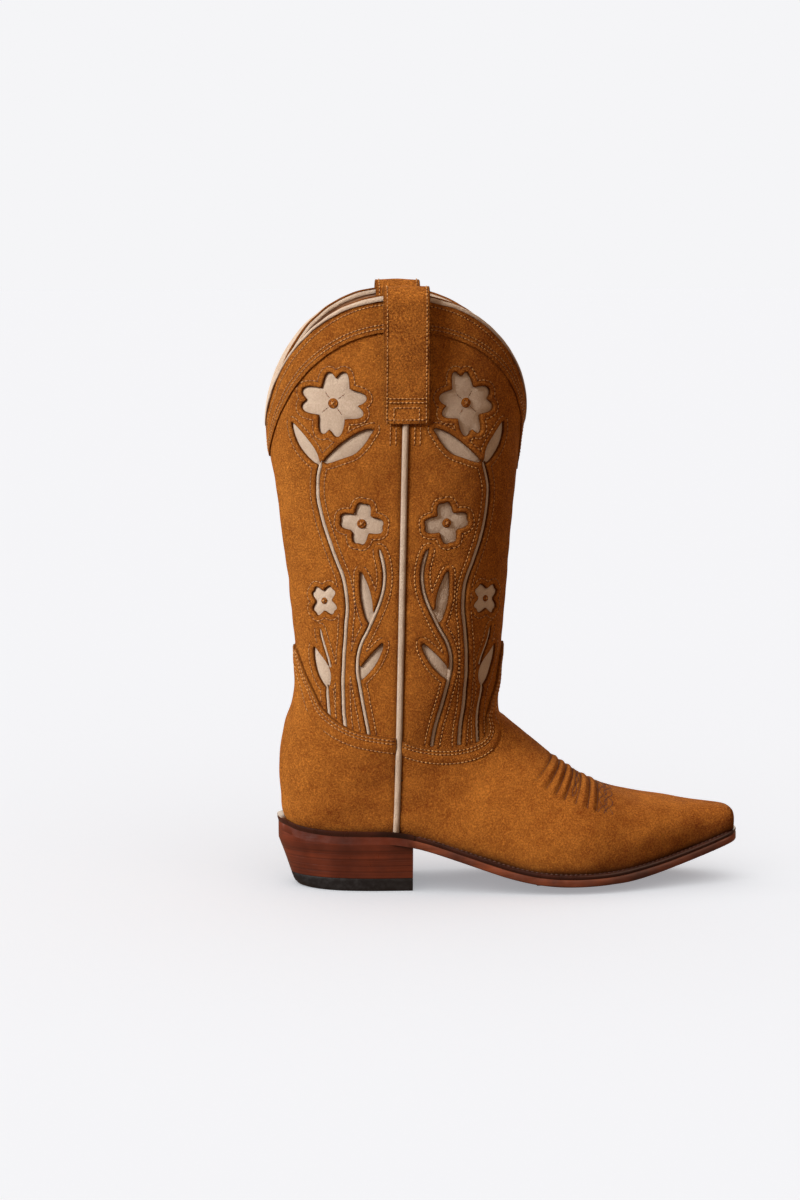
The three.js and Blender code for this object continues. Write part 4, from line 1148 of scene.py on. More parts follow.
def add_flower_centre(flower, chart, side, name):
    """A small domed suede disc sewn on the middle of a flower."""
    turns = np.linspace(0, 2 * math.pi, 28, endpoint=False)
    # Rings are (size, lift, tone); the tone is painted shade, darker round the rim where the dome turns down.
    rings = [(0.0, 0.14, 1), (0.45, 0.16, 1), (0.8, 0.12, 0.95), (0.96, -0.04, 0.7), (1.0, -0.3, 0.5),
             (0.98, -0.8, 0.4)]
    centre = spread([[flower["u"], flower["z"]]], chart.end)[0]
    grid = []
    for size, lift, _ in rings:
        uv = centre + size * flower["dot"] * np.column_stack([np.cos(turns), np.sin(turns)])
        face = chart.drawn(uv, 0, side)
        grid.append(chart.drawn(uv, INLAY_OUTSIDE + 0.75 + lift + unevenness(face), side))
    shade = np.repeat(np.array([tone for _, _, tone in rings])[:, None], len(turns), 1)
    label = f"{flower['size']}_{name}"
    piece = wrapped_surface(f"flower_centre_{label}_dot", np.array(grid), TAN, shade)
    stand_for(piece, f"flower_centre_{label}")
    cross = []
    for bearing in (0.9, 2.4):
        ray = np.array([math.cos(bearing), math.sin(bearing)]) * flower["dot"] * 0.62
        line = evenly(np.array([centre - ray, centre + ray]), 0.5)
        cross.append(surface_lines(chart, line, side, INLAY_OUTSIDE + 1.2))
    sew(f"centre_stitches_{label}", cross, TAN_THREAD, pitch=flower["dot"] * 1.2)


# ---------- collar, binding, lining and side piping ----------

def add_collar(end_name):
    chart = CHARTS[end_name]
    sheet = Sheet(np.linspace(0, 1, 64), np.arange(250.0, 370.0, 1.6))
    shares = np.linspace(0, 1, 110)
    edge = curve_on_chart(chart, shares, collar_edge_height)
    mouth = curve_on_chart(chart, shares, mouth_height)
    to_edge, to_mouth = (
        sheet.carry(lambda p, line=line: np.minimum(distance_to_line(chart.leather(p), line, reach=9), 12))
        for line in (edge, mouth))
    sheet.trim(lambda p: mouth_height(chart.angle_at(p)) - 2.0 - p[:, 1])
    sheet.trim(lambda p: p[:, 1] - collar_edge_height(chart.angle_at(p)))
    sheet.trim(seam_limit(chart))
    for level in (0.5, 1.6, 2.4, 3.6, 4.6, 5.4):
        sheet.score(to_edge, level)
    for level in (3.8, 4.6, 5.4):
        sheet.score(to_mouth, level)
    places, tris, side = weld_sides(sheet)
    low, high = to_edge(places), to_mouth(places)
    rows = [(low, 2.4), (low, 4.6), (high, 4.6)]
    groove = sum(np.exp(-((gap - at) / 0.55) ** 2) for gap, at in rows)
    roll = np.exp(-low / 0.45)
    face = chart.layer(places, 0, side)
    depth = unevenness(face) - 0.25 * groove - 0.5 * roll
    outside = chart.layer(places, COLLAR_OUTSIDE + depth, side)
    inside = chart.layer(places, COLLAR_INSIDE + unevenness(face), side)
    shade = 1 - 0.45 * roll - 0.2 * np.clip(groove, 0, 1)
    piece = thick_piece(f"collar_{end_name}_suede", tris, outside, inside, TAN, shade)
    stand_for(piece, f"collar_{end_name}")
    lines = []
    for base, at in ((edge, 2.4), (edge, 4.6), (mouth, -4.6)):
        offset = offset_line(base, at)
        good = (offset[:, 0] > PIPING_HALF + 1.2) & (offset[:, 0] < chart.full_width(offset[:, 1]) - 0.4)
        for part in runs(good):
            for sign in (-1, 1):
                lines.append(surface_lines(chart, offset[part], sign, COLLAR_OUTSIDE - 0.12))
    sew(f"collar_stitches_{end_name}", lines, TAN_THREAD, pitch=2.4)


def curve_on_chart(chart, shares, height_rule):
    """A level-by-angle curve as leather places, from the seam to the centre line."""
    z = np.full(len(shares), 300.0)
    for _ in range(30):
        z = 0.5 * z + 0.5 * height_rule(chart.angle(shares, z))
    return chart.leather(np.column_stack([shares, z]))


def offset_line(line, distance):
    """A line moved sideways, upwards for a positive distance where the line runs away from the seam."""
    line = evenly(line, 0.7)
    tangent = np.gradient(line, axis=0)
    tangent /= np.linalg.norm(tangent, axis=1)[:, None]
    return line + distance * np.column_stack([-tangent[:, 1], tangent[:, 0]])


def add_binding(end_name):
    """The suede strip folded over the mouth: a narrow face outside and a wider one inside."""
    profile = [(1.2, 2.5), (1.75, 2.3), (1.95, 1.6), (1.9, 0.8), (1.4, 0.1), (0.4, -0.35), (-1.4, -0.5),
               (-3.2, -0.35), (-4.6, 0.1), (-5.1, 0.9), (-5.2, 1.6), (-5.1, 2.2), (-4.7, 2.4), (-3.9, 2.2),
               (-3.3, 1.8), (-1.4, 1.2), (0.6, 1.6), (0.9, 2.3)]
    cord = [(-3.0 + 0.8 * math.cos(turn), 0.75 * math.sin(turn) - 0.7)
            for turn in np.linspace(0, 2 * math.pi, 10)[:-1]]
    chart = CHARTS[end_name]
    start = chart.angle(0.0, 365.0) - chart.end * 0.035
    count = 420
    begin, finish = (-start, start) if chart.end > 0 else (start, 2 * math.pi - start)
    angles = np.linspace(begin, finish, count)
    shade = np.tile([0.75 if drop > 2.2 else 1.0 for _, drop in profile], (count, 1))
    piece = wrapped_surface(f"top_binding_{end_name}_suede", along_mouth(angles, profile), CREAM, shade)
    stand_for(piece, f"top_binding_{end_name}")
    shade = np.full((count, len(cord)), 0.55)
    piece = wrapped_surface(f"mouth_edge_{end_name}_suede", along_mouth(angles, cord), TAN, shade)


def along_mouth(angles, profile):
    """Carries a profile of (depth, drop below the mouth) along the mouth."""
    top = mouth_height(angles)
    rings = []
    for depth, drop in profile:
        z = np.clip(top - drop, 0, 371.6)
        rings.append(point_at_height(angles, z, depth))
    grid = np.array(rings).transpose(1, 0, 2)
    grid[..., 2] += 0.15 * ripple(grid.reshape(-1, 3), 12, 4).reshape(grid.shape[:2])
    return grid


def add_shaft_lining(end_name):
    chart = CHARTS[end_name]
    sheet = Sheet(np.linspace(0, 1, 50), np.arange(90.0, 370.0, 4.0))
    sheet.trim(lambda p: mouth_height(chart.angle_at(p)) - 2.5 - p[:, 1])
    places, tris, side = weld_sides(sheet)
    face = chart.layer(places, 0, side)
    soft = 0.5 * unevenness(face)
    outside = chart.layer(places, LINING_OUTSIDE + soft, side)
    inside = chart.layer(places, LINING_INSIDE + soft, side)
    plain = np.ones(len(places))
    piece = thick_piece(f"shaft_lining_{end_name}_leather", tris, outside, inside, LINING, plain)
    stand_for(piece, f"shaft_lining_{end_name}")


def side_angle(x, z):
    """The angle, on the inner side, of the point of the last at a place in the side view."""
    x, z = np.broadcast_arrays(np.asarray(x, float), np.asarray(z, float))
    low, high = np.zeros(x.shape), np.full(x.shape, math.pi)
    return bisect(low, high, lambda angle: point_at_height(angle, z)[..., 0] > x, 20)


def add_piping(side_name):
    side = SIDES[side_name]
    # Profile rows are (across, depth, tone); the tone is painted shade, darker down the sides that tuck into
    # the seam.
    left = [(-1.8, -1.4, 0.4), (-1.85, 0.1, 0.55), (-1.45, 0.75, 0.9), (-0.7, 1.05, 1)]
    profile = left + [(0.0, 1.1, 1)] + [(-across, depth, tone) for across, depth, tone in left[::-1]]
    z = np.arange(38.2, 293.5, 1.5)
    over_foot = 1.35 * (1 - smoothstep(z, 84, 96))
    grid = []
    for across, depth, _ in profile:
        angle = side_angle(seam_x(z) + across, z)
        face = last_point(rib_at_height(angle, z), angle * side)
        lift = depth + (over_foot if depth > 0 else 0) + unevenness(face) * 0.8
        grid.append(last_point(rib_at_height(angle, z), angle * side, lift))
    grid = np.array(grid).transpose(1, 0, 2)
    shade = np.tile([tone for _, _, tone in profile], (len(z), 1))
    piece = wrapped_surface(f"side_piping_{side_name}_suede", grid, CREAM, shade)
    stand_for(piece, f"side_piping_{side_name}")


# ---------- vamp and counter ----------

FOOT_ROWS = [22, 16, 10, 10, 10, 10, 12, 12, 14, 20, 24, 17, 14, 11, 7, 5, 6]
FOOT_FIRST_RIB, TOP_RIB = 5, 8


def foot_rows():
    rows = [FOOT_FIRST_RIB + step + np.arange(count) / count for step, count in enumerate(FOOT_ROWS)]
    dome = LAST_RIB + np.array([0, 0.15, 0.35, 0.6, 0.85, 0.985])
    return np.concatenate(rows + [dome])


def foot_point(places, depth=0.0):
    return last_point(places[:, 0], places[:, 1], depth)


def above_sole(points):
    return points[:, 2] - feather_height(points[:, 0])


def past_seam(points):
    return points[:, 0] - seam_x(points[:, 2])


def foot_edge_points(angle, lift=0.0):
    """The top edge of the vamp and the counter on the last."""
    return point_at_height(angle, vamp_edge_height(angle), VAMP_OUTSIDE + lift)


FOOT_EDGE = foot_edge_points(np.radians(np.linspace(-180, 180, 481)))
TOP_ROWS = (1.7, 3.7, 9.5)

# Toe stitching across the top of the vamp: x of each ridge and sewn row at the middle of the boot,
# and for the leaf rows x, half length in degrees, leaves and leaf size in rib numbers.
RIDGES = (124.4, 129.1, 133.1, 143.3, 148.4)
VALLEYS = (121.9, 126.9, 131.2, 135.0, 140.4, 146.2, 150.6)
RIDGE_HALF_DEGREES, TOE_SWEEP = 50, 0.02
LEAF_ROWS = ((137.7, 44, 6, 0.06), (153.8, 50, 7, 0.12), (157.4, 50, 7, 0.12))


def top_rib(x):
    """Rib number whose front point is at x."""
    return np.interp(x, RIBS[TOP_RIB:, 0], np.arange(TOP_RIB, LAST_RIB + 1))


def toe_line(x, half_degrees=RIDGE_HALF_DEGREES):
    """A line across the top of the vamp, whose ends sweep back a little."""
    angle = np.radians(np.linspace(-half_degrees, half_degrees, 140))
    share = np.abs(angle) / np.radians(half_degrees)
    return evenly(last_point(top_rib(x) - TOE_SWEEP * share ** 3, angle, VAMP_OUTSIDE), 0.8)


def leaf_rows():
    """Small leaf loops between and in front of the ridges: two lines that cross at every leaf's ends."""
    lines = []
    for x, half, loops, size in LEAF_ROWS:
        for sign in (-1, 1):
            angle = np.radians(np.linspace(-half, half, 160))
            share = angle / np.radians(half)
            swing = np.abs(np.sin(share * loops * math.pi / 2))
            lines.append(evenly(last_point(top_rib(x) + sign * size * swing, angle, VAMP_OUTSIDE), 0.8))
    return lines


RIDGE_LINES = [toe_line(x) for x in RIDGES]
VALLEY_LINES = [toe_line(x) for x in VALLEYS]
LEAF_LINES = leaf_rows()
# Lines, how far they reach, width of the bump or groove, how far it rises, change in shade.
TOE_RELIEF = ((RIDGE_LINES, 6, 1.3, 0.6, 0.0), (VALLEY_LINES, 5, 0.65, -0.6, -0.42),
              (LEAF_LINES, 4, 0.7, -0.4, -0.3))


def foot_edge_gap(places):
    """Distance from the top edge of the vamp and the counter, where it is near."""
    points = foot_point(places, VAMP_OUTSIDE)
    near = np.abs(points[:, 2] - vamp_edge_height(places[:, 1])) < 75
    gap = np.full(len(places), 15.0)
    gap[near] = np.minimum(distance_to_line(points[near], FOOT_EDGE), 15)
    return gap


def foot_relief(places, edge_gap):
    points = foot_point(places, VAMP_OUTSIDE)
    depth = unevenness(points) + 0.7 * ankle_creases(points)
    shade = np.ones(len(points))
    roll = np.exp(-edge_gap / 0.5)
    depth -= 0.55 * roll
    shade -= 0.6 * roll
    for row in TOP_ROWS:
        groove = np.exp(-((edge_gap - row) / 0.55) ** 2)
        depth -= 0.28 * groove
        shade -= 0.14 * groove
    puff = np.exp(-((edge_gap - 6.5) / 2.0) ** 2)
    depth += 0.35 * puff
    on_top = (points[:, 0] > 100) & (points[:, 0] < 185) & (points[:, 2] > 25)
    top = np.flatnonzero(on_top)
    for lines, reach, width, rise, tone in TOE_RELIEF:
        for line in lines:
            bump = np.exp(-(distance_to_line(points[top], line, reach=reach) / width) ** 2)
            depth[top] += rise * bump
            shade[top] += tone * bump
    # Painted shade: darker low on the foot near the sole, more so towards the toe, and in the crease at the
    # feather.
    height = np.clip(above_sole(points), 0, 60)
    painted_sole_shade = np.exp(-height / 5.5) * smoothstep(points[:, 0], -60, 120)
    pinch = np.exp(-height / 2.2)
    shade -= 0.75 * painted_sole_shade + 0.3 * pinch
    seam_gap = np.abs(past_seam(points))
    seam_roll = np.exp(-np.clip(seam_gap - PIPING_HALF, 0, 9) / 0.8)
    depth -= 0.5 * seam_roll
    shade -= 0.4 * seam_roll
    return depth - 0.4 * pinch, np.clip(shade, 0.05, 1)


def add_foot():
    whole = Sheet(foot_rows(), np.radians(np.linspace(-180, 180, 217)))
    whole.trim(lambda p: vamp_edge_height(p[:, 1]) - foot_point(p)[:, 2])
    whole.trim(lambda p: above_sole(foot_point(p)) + 0.9)
    gap = whole.carry(foot_edge_gap)
    for level in (0.5, 1.7, 2.7, 3.7, 4.6, 8.6, 9.5, 10.4):
        whole.score(gap, level)
    for node, sign, name in (("vamp", 1, "vamp_suede"), ("counter_cover", -1, "counter_suede")):
        half = whole.copy()
        half.trim(lambda p: sign * past_seam(foot_point(p)) - PIPING_HALF + 0.1)
        depth, shade = foot_relief(half.places, gap(half.places))
        outside = foot_point(half.places, VAMP_OUTSIDE + depth)
        inside = foot_point(half.places, np.minimum(VAMP_INSIDE + 0.5 * depth, VAMP_OUTSIDE + depth - 0.7))
        tris = weld_back(half.places, half.tris)
        piece = thick_piece(name, tris, outside, inside, TAN, shade, crease=60)
        stand_for(piece, node)
    add_foot_stitches()


def weld_back(places, tris):
    """Joins the two sides of the chart's cut, where the angle is -180 and 180 degrees."""
    left = np.flatnonzero(places[:, 1] < -math.pi + 1e-6)
    right = np.flatnonzero(places[:, 1] > math.pi - 1e-6)
    match = np.arange(len(places))
    for index in left:
        nearest = right[np.argmin(np.abs(places[right, 0] - places[index, 0]))] if len(right) else index
        if len(right) and abs(places[nearest, 0] - places[index, 0]) < 1e-6:
            match[index] = nearest
    return match[tris]


def on_foot(points, lift):
    """The points moved onto the suede of the foot, with their outward directions and angles."""
    number, turn = place_near(points)
    places = np.column_stack([number, turn])
    depth = foot_relief(places, foot_edge_gap(places))[0]
    base = last_point(number, turn, VAMP_OUTSIDE + depth + lift)
    return base, last_point(number, turn, VAMP_OUTSIDE + depth + lift + 1) - base, turn


def add_foot_stitches():
    lines = []
    angle = np.radians(np.linspace(-180, 180, 1441))
    edge = foot_edge_points(angle)
    ahead = np.gradient(edge, axis=0)
    ahead /= np.linalg.norm(ahead, axis=1)[:, None]
    out = foot_edge_points(angle, 1) - edge
    out /= np.linalg.norm(out, axis=1)[:, None]
    down = np.cross(out, ahead)
    down *= -np.sign(down[:, 2].sum())
    for row in TOP_ROWS:
        guess = edge + down * row
        base, normal, turn = on_foot(guess, 0.12)
        away = distance_to_line(base, edge[::3])
        good = (away > 0.93 * row - 0.2) & (np.abs(past_seam(base)) > PIPING_HALF + 1.2)
        good &= base[:, 2] < vamp_edge_height(turn) - 0.5
        good &= np.linalg.norm(base - guess, axis=1) < 1.0 + 0.12 * row
        for part in runs(good):
            lines.append((base[part], normal[part]))
    sew("vamp_edge_stitches", lines, TAN_THREAD, pitch=2.5)
    toe = [on_foot(line, 0.08)[:2] for line in VALLEY_LINES + LEAF_LINES]
    sew("toe_stitches", toe, DARK_THREAD, pitch=2.1, width=0.8)


def place_near(points):
    """Rib number and angle of the places of the vamp's face nearest to some points."""
    found = [FOOT_TREE.find(point)[1] for point in points]
    number, turn = FOOT_CLOUD[0][found], FOOT_CLOUD[1][found]
    for _ in range(5):
        here = last_point(number, turn, VAMP_OUTSIDE)
        by_number = (last_point(number + 1e-3, turn, VAMP_OUTSIDE) - here) / 1e-3
        by_turn = (last_point(number, turn + 1e-3, VAMP_OUTSIDE) - here) / 1e-3
        gap = points - here
        a, b, c = (np.sum(u * v, 1) for u, v in (
            (by_number, by_number), (by_number, by_turn), (by_turn, by_turn)))
        d, e = np.sum(gap * by_number, 1), np.sum(gap * by_turn, 1)
        det = np.maximum(a * c - b * b, 1e-9)
        number = number + np.clip((c * d - b * e) / det, -0.1, 0.1)
        turn = turn + np.clip((a * e - b * d) / det, -0.05, 0.05)
    return number, turn


def spatial_tree(points):
    tree = KDTree(len(points))
    for index, point in enumerate(points):
        tree.insert(point, index)
    tree.balance()
    return tree


FOOT_CLOUD = [axis.ravel() for axis in np.meshgrid(np.linspace(FOOT_FIRST_RIB, LAST_RIB, 129),
                                                   np.radians(np.linspace(-180, 180, 145)), indexing="ij")]
FOOT_TREE = spatial_tree(last_point(*FOOT_CLOUD, VAMP_OUTSIDE))


def add_vamp_lining():
    sheet = Sheet(np.linspace(7.2, 19, 90), np.radians(np.linspace(-180, 180, 97)))
    sheet.trim(lambda p: shaft_foot_height(p[:, 1]) + 4 - foot_point(p)[:, 2])
    sheet.trim(lambda p: above_sole(foot_point(p)) - 1.2)
    outside = foot_point(sheet.places, LINING_OUTSIDE)
    inside = foot_point(sheet.places, LINING_INSIDE)
    tris = weld_back(sheet.places, sheet.tris)
    plain = np.ones(len(sheet.places))
    piece = thick_piece("vamp_lining_leather", tris, outside, inside, LINING, plain)
    stand_for(piece, "vamp_lining")


# ---------- sole and heel ----------

SOLE_LENGTH, SOLE_WIDTH = 300, 60
PLAN_CURVES = {-1: smooth_curve(PLAN_OUTER, 24), 1: smooth_curve(PLAN_INNER, 24)}


def outline_point(along, side, margin):
    """A point of the sole's outline, moved outwards by a margin."""
    curve = PLAN_CURVES[side]
    share = np.linspace(0, 1, len(curve))
    point = np.column_stack([np.interp(along, share, column) for column in curve.T])
    tangents = np.gradient(curve, axis=0)
    tangent = np.column_stack([np.interp(along, share, column) for column in tangents.T])
    tangent /= np.linalg.norm(tangent, axis=1)[:, None]
    margin = np.broadcast_to(margin, np.shape(along)).astype(float)
    lip = np.where(margin > 0, LIP_EXTRA * (1 - smoothstep(along, 0, LIP_ALONG)), 0)
    reach = (margin + lip)[:, None]
    return point + reach * np.column_stack([-side * tangent[:, 1], side * tangent[:, 0]])


def sole_loop(along, margin):
    """The outline down the outer side and back up the inner side."""
    return np.vstack([outline_point(along, -1, margin), outline_point(along, 1, margin)[::-1]])


def tread_height(x, y):
    edge = feather_height(x) - WELT_THICKNESS - 0.3 - OUTSOLE_THICKNESS
    beyond = np.maximum(np.maximum(TREAD_FROM - x, x - TREAD_TO), 0) / TREAD_FADE
    across = np.maximum(np.abs(y) - TREAD_HALF, 0) / TREAD_SIDE_FADE
    drop = TREAD_DROP * np.maximum(1 - beyond, 0) ** 2 * np.maximum(1 - across, 0)
    return np.where((beyond == 0) & (across == 0), 0.0, np.maximum(edge - drop, 0.0))


def clustered(count, length, fine=(0.0, 0.25, 0.6, 1.1, 1.8)):
    """Shares from 0 to 1 with extra values near both ends, at the given distances."""
    near = np.array(fine) / length
    middle = np.linspace(near[-1], 1 - near[-1], count)
    return np.concatenate([near[:-1], middle, 1 - near[:-1][::-1]])


def plate(margin, top_rule, bottom_rule, rounding, rows=150, columns=15):
    """The top and bottom grids of a sole-shaped plate with rounded edges."""
    along = clustered(rows, SOLE_LENGTH)
    outer, inner = outline_point(along, -1, margin), outline_point(along, 1, margin)
    width = np.linalg.norm(outer - inner, axis=1)
    across = clustered(columns, SOLE_WIDTH)
    flat = outer[:, None] + (inner - outer)[:, None] * across[None, :, None]
    gap = np.minimum(across, 1 - across)[None] * width[:, None]
    gap = np.minimum(gap, np.minimum(along, 1 - along)[:, None] * SOLE_LENGTH)
    x, y = flat[..., 0], flat[..., 1]
    round_by = rounding(x) if callable(rounding) else rounding
    inwards = round_by - np.minimum(gap, round_by)
    drop = round_by - np.sqrt(np.clip(round_by ** 2 - inwards ** 2, 0, None))
    top = np.dstack([x, y, top_rule(x, y) - drop])
    bottom = np.dstack([x, y, bottom_rule(x, y) + drop])
    return top, bottom


def solid_plate(name, top, bottom, material, **options):
    rows, columns = top.shape[:2]
    count = rows * columns
    index = np.arange(count).reshape(rows, columns)
    quads = np.stack([index[:-1, :-1], index[1:, :-1], index[1:, 1:], index[:-1, 1:]], -1).reshape(-1, 4)
    loop = np.concatenate([index[:-1, 0], index[-1, :-1], index[:0:-1, -1], index[0, :0:-1]])
    after = np.roll(loop, -1)
    walls = np.column_stack([loop, loop + count, after + count, after])
    faces = np.concatenate([quads, quads[:, ::-1] + count, walls])
    points = np.vstack([top.reshape(-1, 3), bottom.reshape(-1, 3)])
    return make_piece(name, points, faces.tolist(), material, crease=55, **options)


def add_outsole():
    """Over the heel its edge is sanded flush with the stack, and further on it is rounded."""
    top, bottom = plate(SOLE_MARGIN + 0.2, lambda x, y: feather_height(x) - WELT_THICKNESS - 0.05,
                        tread_height, lambda x: 0.05 + 0.85 * smoothstep(x, HEEL_BREAST - 1, HEEL_BREAST + 6))
    stand_for(solid_plate("outsole_leather", top, bottom, SOLE), "outsole")


def sole_ring(name, node, keep, profile):
    """A welt strip that follows the sole's outline. Its profile is (margin, height above the feather)."""
    along = np.linspace(0, 1, 260)
    rings = []
    for margin, lift in profile:
        loop = sole_loop(along, margin)
        rings.append(np.column_stack([loop, feather_height(loop[:, 0]) + lift]))
    grid = np.array(rings).transpose(1, 0, 2)
    chosen = keep(grid[:, 0, 0])
    if chosen[0]:
        cut = int(np.flatnonzero(~chosen)[0])
        grid = np.roll(grid, -cut, axis=0)
        chosen = np.roll(chosen, -cut)
    piece = wrapped_surface(name, grid[chosen], WELT, crease=60)
    stand_for(piece, node)


def add_welt():
    margin = SOLE_MARGIN
    profile = [(-WELT_INSET, -0.1), (-1.0, 0.0), (1.2, 0.05), (margin - 0.5, -0.05), (margin, -0.35),
               (margin + 0.15, -1.3), (margin, -2.3), (margin - 0.4, -2.75), (-WELT_INSET, -2.75)]
    sole_ring("welt_leather_strip", "welt", lambda x: x > HEEL_BREAST - 3, profile)
    rand = [(-WELT_INSET, -0.1), (-1.0, 0.1), (1.2, 0.3), (margin + 0.3, 0.7), (margin + 0.9, 0.5),
            (margin + 1.0, -0.3), (margin + 0.6, -1.6), (margin + 0.2, -2.75), (-WELT_INSET, -2.75)]
    sole_ring("heel_rand_leather", "heel_rand", lambda x: x <= HEEL_BREAST + 1, rand)
    loop = sole_loop(np.linspace(0, 1, 500), 1.9)
    line = np.column_stack([loop, feather_height(loop[:, 0]) + 0.05])
    line = evenly(line[line[:, 0] > HEEL_BREAST + 2], 1.0)
    up = np.tile([0.0, 0.0, 1.0], (len(line), 1))
    sew("welt_stitches", [(line, up)], WELT_THREAD, pitch=3.0, width=1.2)


def heel_margin(z):
    """The block flares out to meet the edge of the sole at the seat."""
    return HEEL_MARGIN + (SOLE_MARGIN + 0.2 - HEEL_MARGIN) * np.clip(z / HEEL_SEAT, 0, 1) ** 1.5


def heel_outline(inset=0.0, margin=HEEL_MARGIN):
    """The heel's outline at the seat, from the outer end of the breast round the back to the inner end,
    then along the breast."""
    along = np.linspace(HEEL_ALONG, 0, 60)
    outer = outline_point(along, -1, margin - inset)
    inner = outline_point(along[::-1], 1, margin - inset)
    front, half = HEEL_BREAST - inset, HEEL_HALF - inset
    steps = np.linspace(-1, 1, 12)[1:-1][::-1]
    breast = np.column_stack([np.full(len(steps), front), steps * half])
    return np.vstack([[front, -half], outer, inner, [front, half], breast])


def heel_points(loop, z):
    """The outline taken down the tapering heel block to a height."""
    down = max(1 - z / HEEL_SEAT, 0.0)
    towards_back = (HEEL_BREAST - loop[:, 0]) / (HEEL_BREAST - PLAN_OUTER[0, 0])
    worn = HEEL_WEAR * np.exp(-z / HEEL_WEAR_HEIGHT) * np.clip(towards_back, 0, 1) ** HEEL_WEAR_POWER
    x = loop[:, 0] + HEEL_TAPER_BACK * down * towards_back + worn
    y = loop[:, 1] * (1 - HEEL_TAPER_SIDE / HEEL_HALF * down)
    return np.column_stack([x, y, np.broadcast_to(z, len(loop))])


def heel_layer(name, node, bottom, top, material, rounding, ceiling=None):
    """One layer of the heel, with rounded edges."""
    rings, shades = [], []
    steps = [(0.0, 1.0), (0.3, 0.3), (1.0, 0.0)]
    heights = [(bottom + rounding * lift, rounding * inset) for lift, inset in steps]
    heights += [(h, 0.0) for h in np.linspace(bottom + rounding, top - rounding, 5)[1:-1]]
    heights += [(top - rounding * lift, rounding * inset) for lift, inset in reversed(steps)]
    for z, inset in heights:
        points = heel_points(heel_outline(inset, heel_margin(z)), z)
        if ceiling is not None:
            points[:, 2] = np.minimum(points[:, 2], ceiling(points[:, 0]))
        rings.append(points)
        shades.append(np.full(len(points), 0.35 if inset > 0.5 * rounding else 1.0))
    piece = wrapped_surface(name, np.array(rings), material, np.array(shades))
    stand_for(piece, node)


def under_sole(x):
    return feather_height(x) - WELT_THICKNESS - OUTSOLE_THICKNESS - 0.2


def add_heel():
    pitch = (HEEL_SEAT - 2 - HEEL_CAP) / HEEL_LIFTS
    for lift in range(HEEL_LIFTS):
        node = f"heel_lift_{lift + 1}"
        bottom = HEEL_CAP + 0.08 + lift * pitch
        top, ceiling = bottom + pitch - 0.02, None
        if lift == HEEL_LIFTS - 1:
            top, ceiling = HEEL_SEAT + 6, under_sole
        heel_layer(f"{node}_leather", node, bottom, top, STACK, 0.12, ceiling)
    heel_layer("heel_cap_rubber", "heel_cap", 0.0, HEEL_CAP, CAP, 0.5)


def add_footbed():
    """The insole's sock lining, a soft sheet with a slight crown."""
    top, bottom = plate(-INSOLE_INSET, lambda x, y: feather_height(x) + 4.0 - 0.0006 * y ** 2,
                        lambda x, y: feather_height(x) + 3.0, 0.5, rows=80, columns=11)
    stand_for(solid_plate("sock_lining_leather", top, bottom, LINING), "sock_lining")


# ---------- pull straps ----------

def add_pull_strap(side_name):
    side = SIDES[side_name]
    centre = evenly(smooth_curve(STRAP_PATH, 12), 1.2)
    tangent = np.gradient(centre, axis=0)
    tangent /= np.linalg.norm(tangent, axis=1)[:, None]
    out = np.column_stack([tangent[:, 1], -tangent[:, 0]])
    along = lengths_along(centre)
    half, thick = STRAP_WIDTH / 2, STRAP_THICKNESS / 2
    edge = [(0.5 - half, -thick), (0.1 - half, -thick * 0.6), (-half, 0), (0.1 - half, thick * 0.6),
            (0.5 - half, thick)]
    left = [1.5 - half, 2.2 - half, 2.9 - half, 4.5 - half, 8 - half, -3.6, -3.0, -2.4]
    face = left + [0] + [-x for x in left[::-1]]
    back = [half - 4, 3.6, 3.0, 2.4, 0, -2.4, -3.0, -3.6, 4 - half]
    section = edge + [(x, thick) for x in face] + [(-x, -z) for x, z in edge] + [(x, -thick) for x in back]
    rows, shades = [], []
    end_round = np.minimum(along, along[-1] - along)
    narrow = 1 - 0.06 * np.exp(-end_round / 0.6)
    for across, lift in section:
        groove = 0.28 * math.exp(-((abs(across) - (half - 2.2)) / 0.6) ** 2) if lift > 0 else 0
        swell = 0.25 * math.cos(across / half * math.pi / 2) if lift > 0 else 0
        lift = (lift - groove + swell) * (1 - 0.35 * np.exp(-end_round / 0.5))
        place = centre + out * (lift - strap_hug(across, along))[:, None]
        x = STRAP_X + across * narrow + 0.3 * np.sin(along / 21 + 1)
        corner = 1.6 * smoothstep(abs(across), half - 2.2, half) ** 2 * np.exp(-(along / 4) ** 2)
        rows.append(np.column_stack([x, side * place[:, 0], place[:, 1] + corner]))
        shades.append(np.full(len(along), 1 - 0.5 * (abs(across) > half - 0.6) - 0.6 * groove))
    grid = np.array(rows).transpose(1, 0, 2)
    flat = grid.reshape(-1, 3)
    outward = np.repeat(np.column_stack([np.zeros(len(out)), side * out[:, 0], out[:, 1]]), len(section), 0)
    grid = (flat + outward * (0.18 * ripple(flat, 15, 12))[:, None]).reshape(grid.shape)
    piece = wrapped_surface(f"pull_strap_{side_name}_suede", grid, STRAP_TAN, np.array(shades).T,
                            body=None, crease=60)
    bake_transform(piece)
    stand_for(piece, f"pull_strap_{side_name}")
    strap = (centre, out, along, side)
    lines = [strap_line(*strap, across) for across in (2.2 - half, half - 2.2)]
    bottom = np.linspace(3.2 - half, half - 3.2, 30)
    lines += [strap_row(*strap, bottom, height) for height in (2.4, 13.0, 15.4)]
    box = half - 6.4
    for across in (-box, box):
        lines.append(strap_row(*strap, np.full(24, across), np.linspace(1.2, 9.8, 24)))
    lines.append(strap_row(*strap, np.linspace(-box, box, 24), 9.8))
    made = sew(f"strap_stitches_{side_name}", lines, TAN_THREAD, pitch=2.4, body=None)
    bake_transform(made)


def strap_hug(across, along):
    """How far the sewn end of the strap is drawn in towards the curved side of the shaft."""
    return np.exp(-(along / 13) ** 2) * (0.3 + 0.9 * (across / (STRAP_WIDTH / 2)) ** 2)


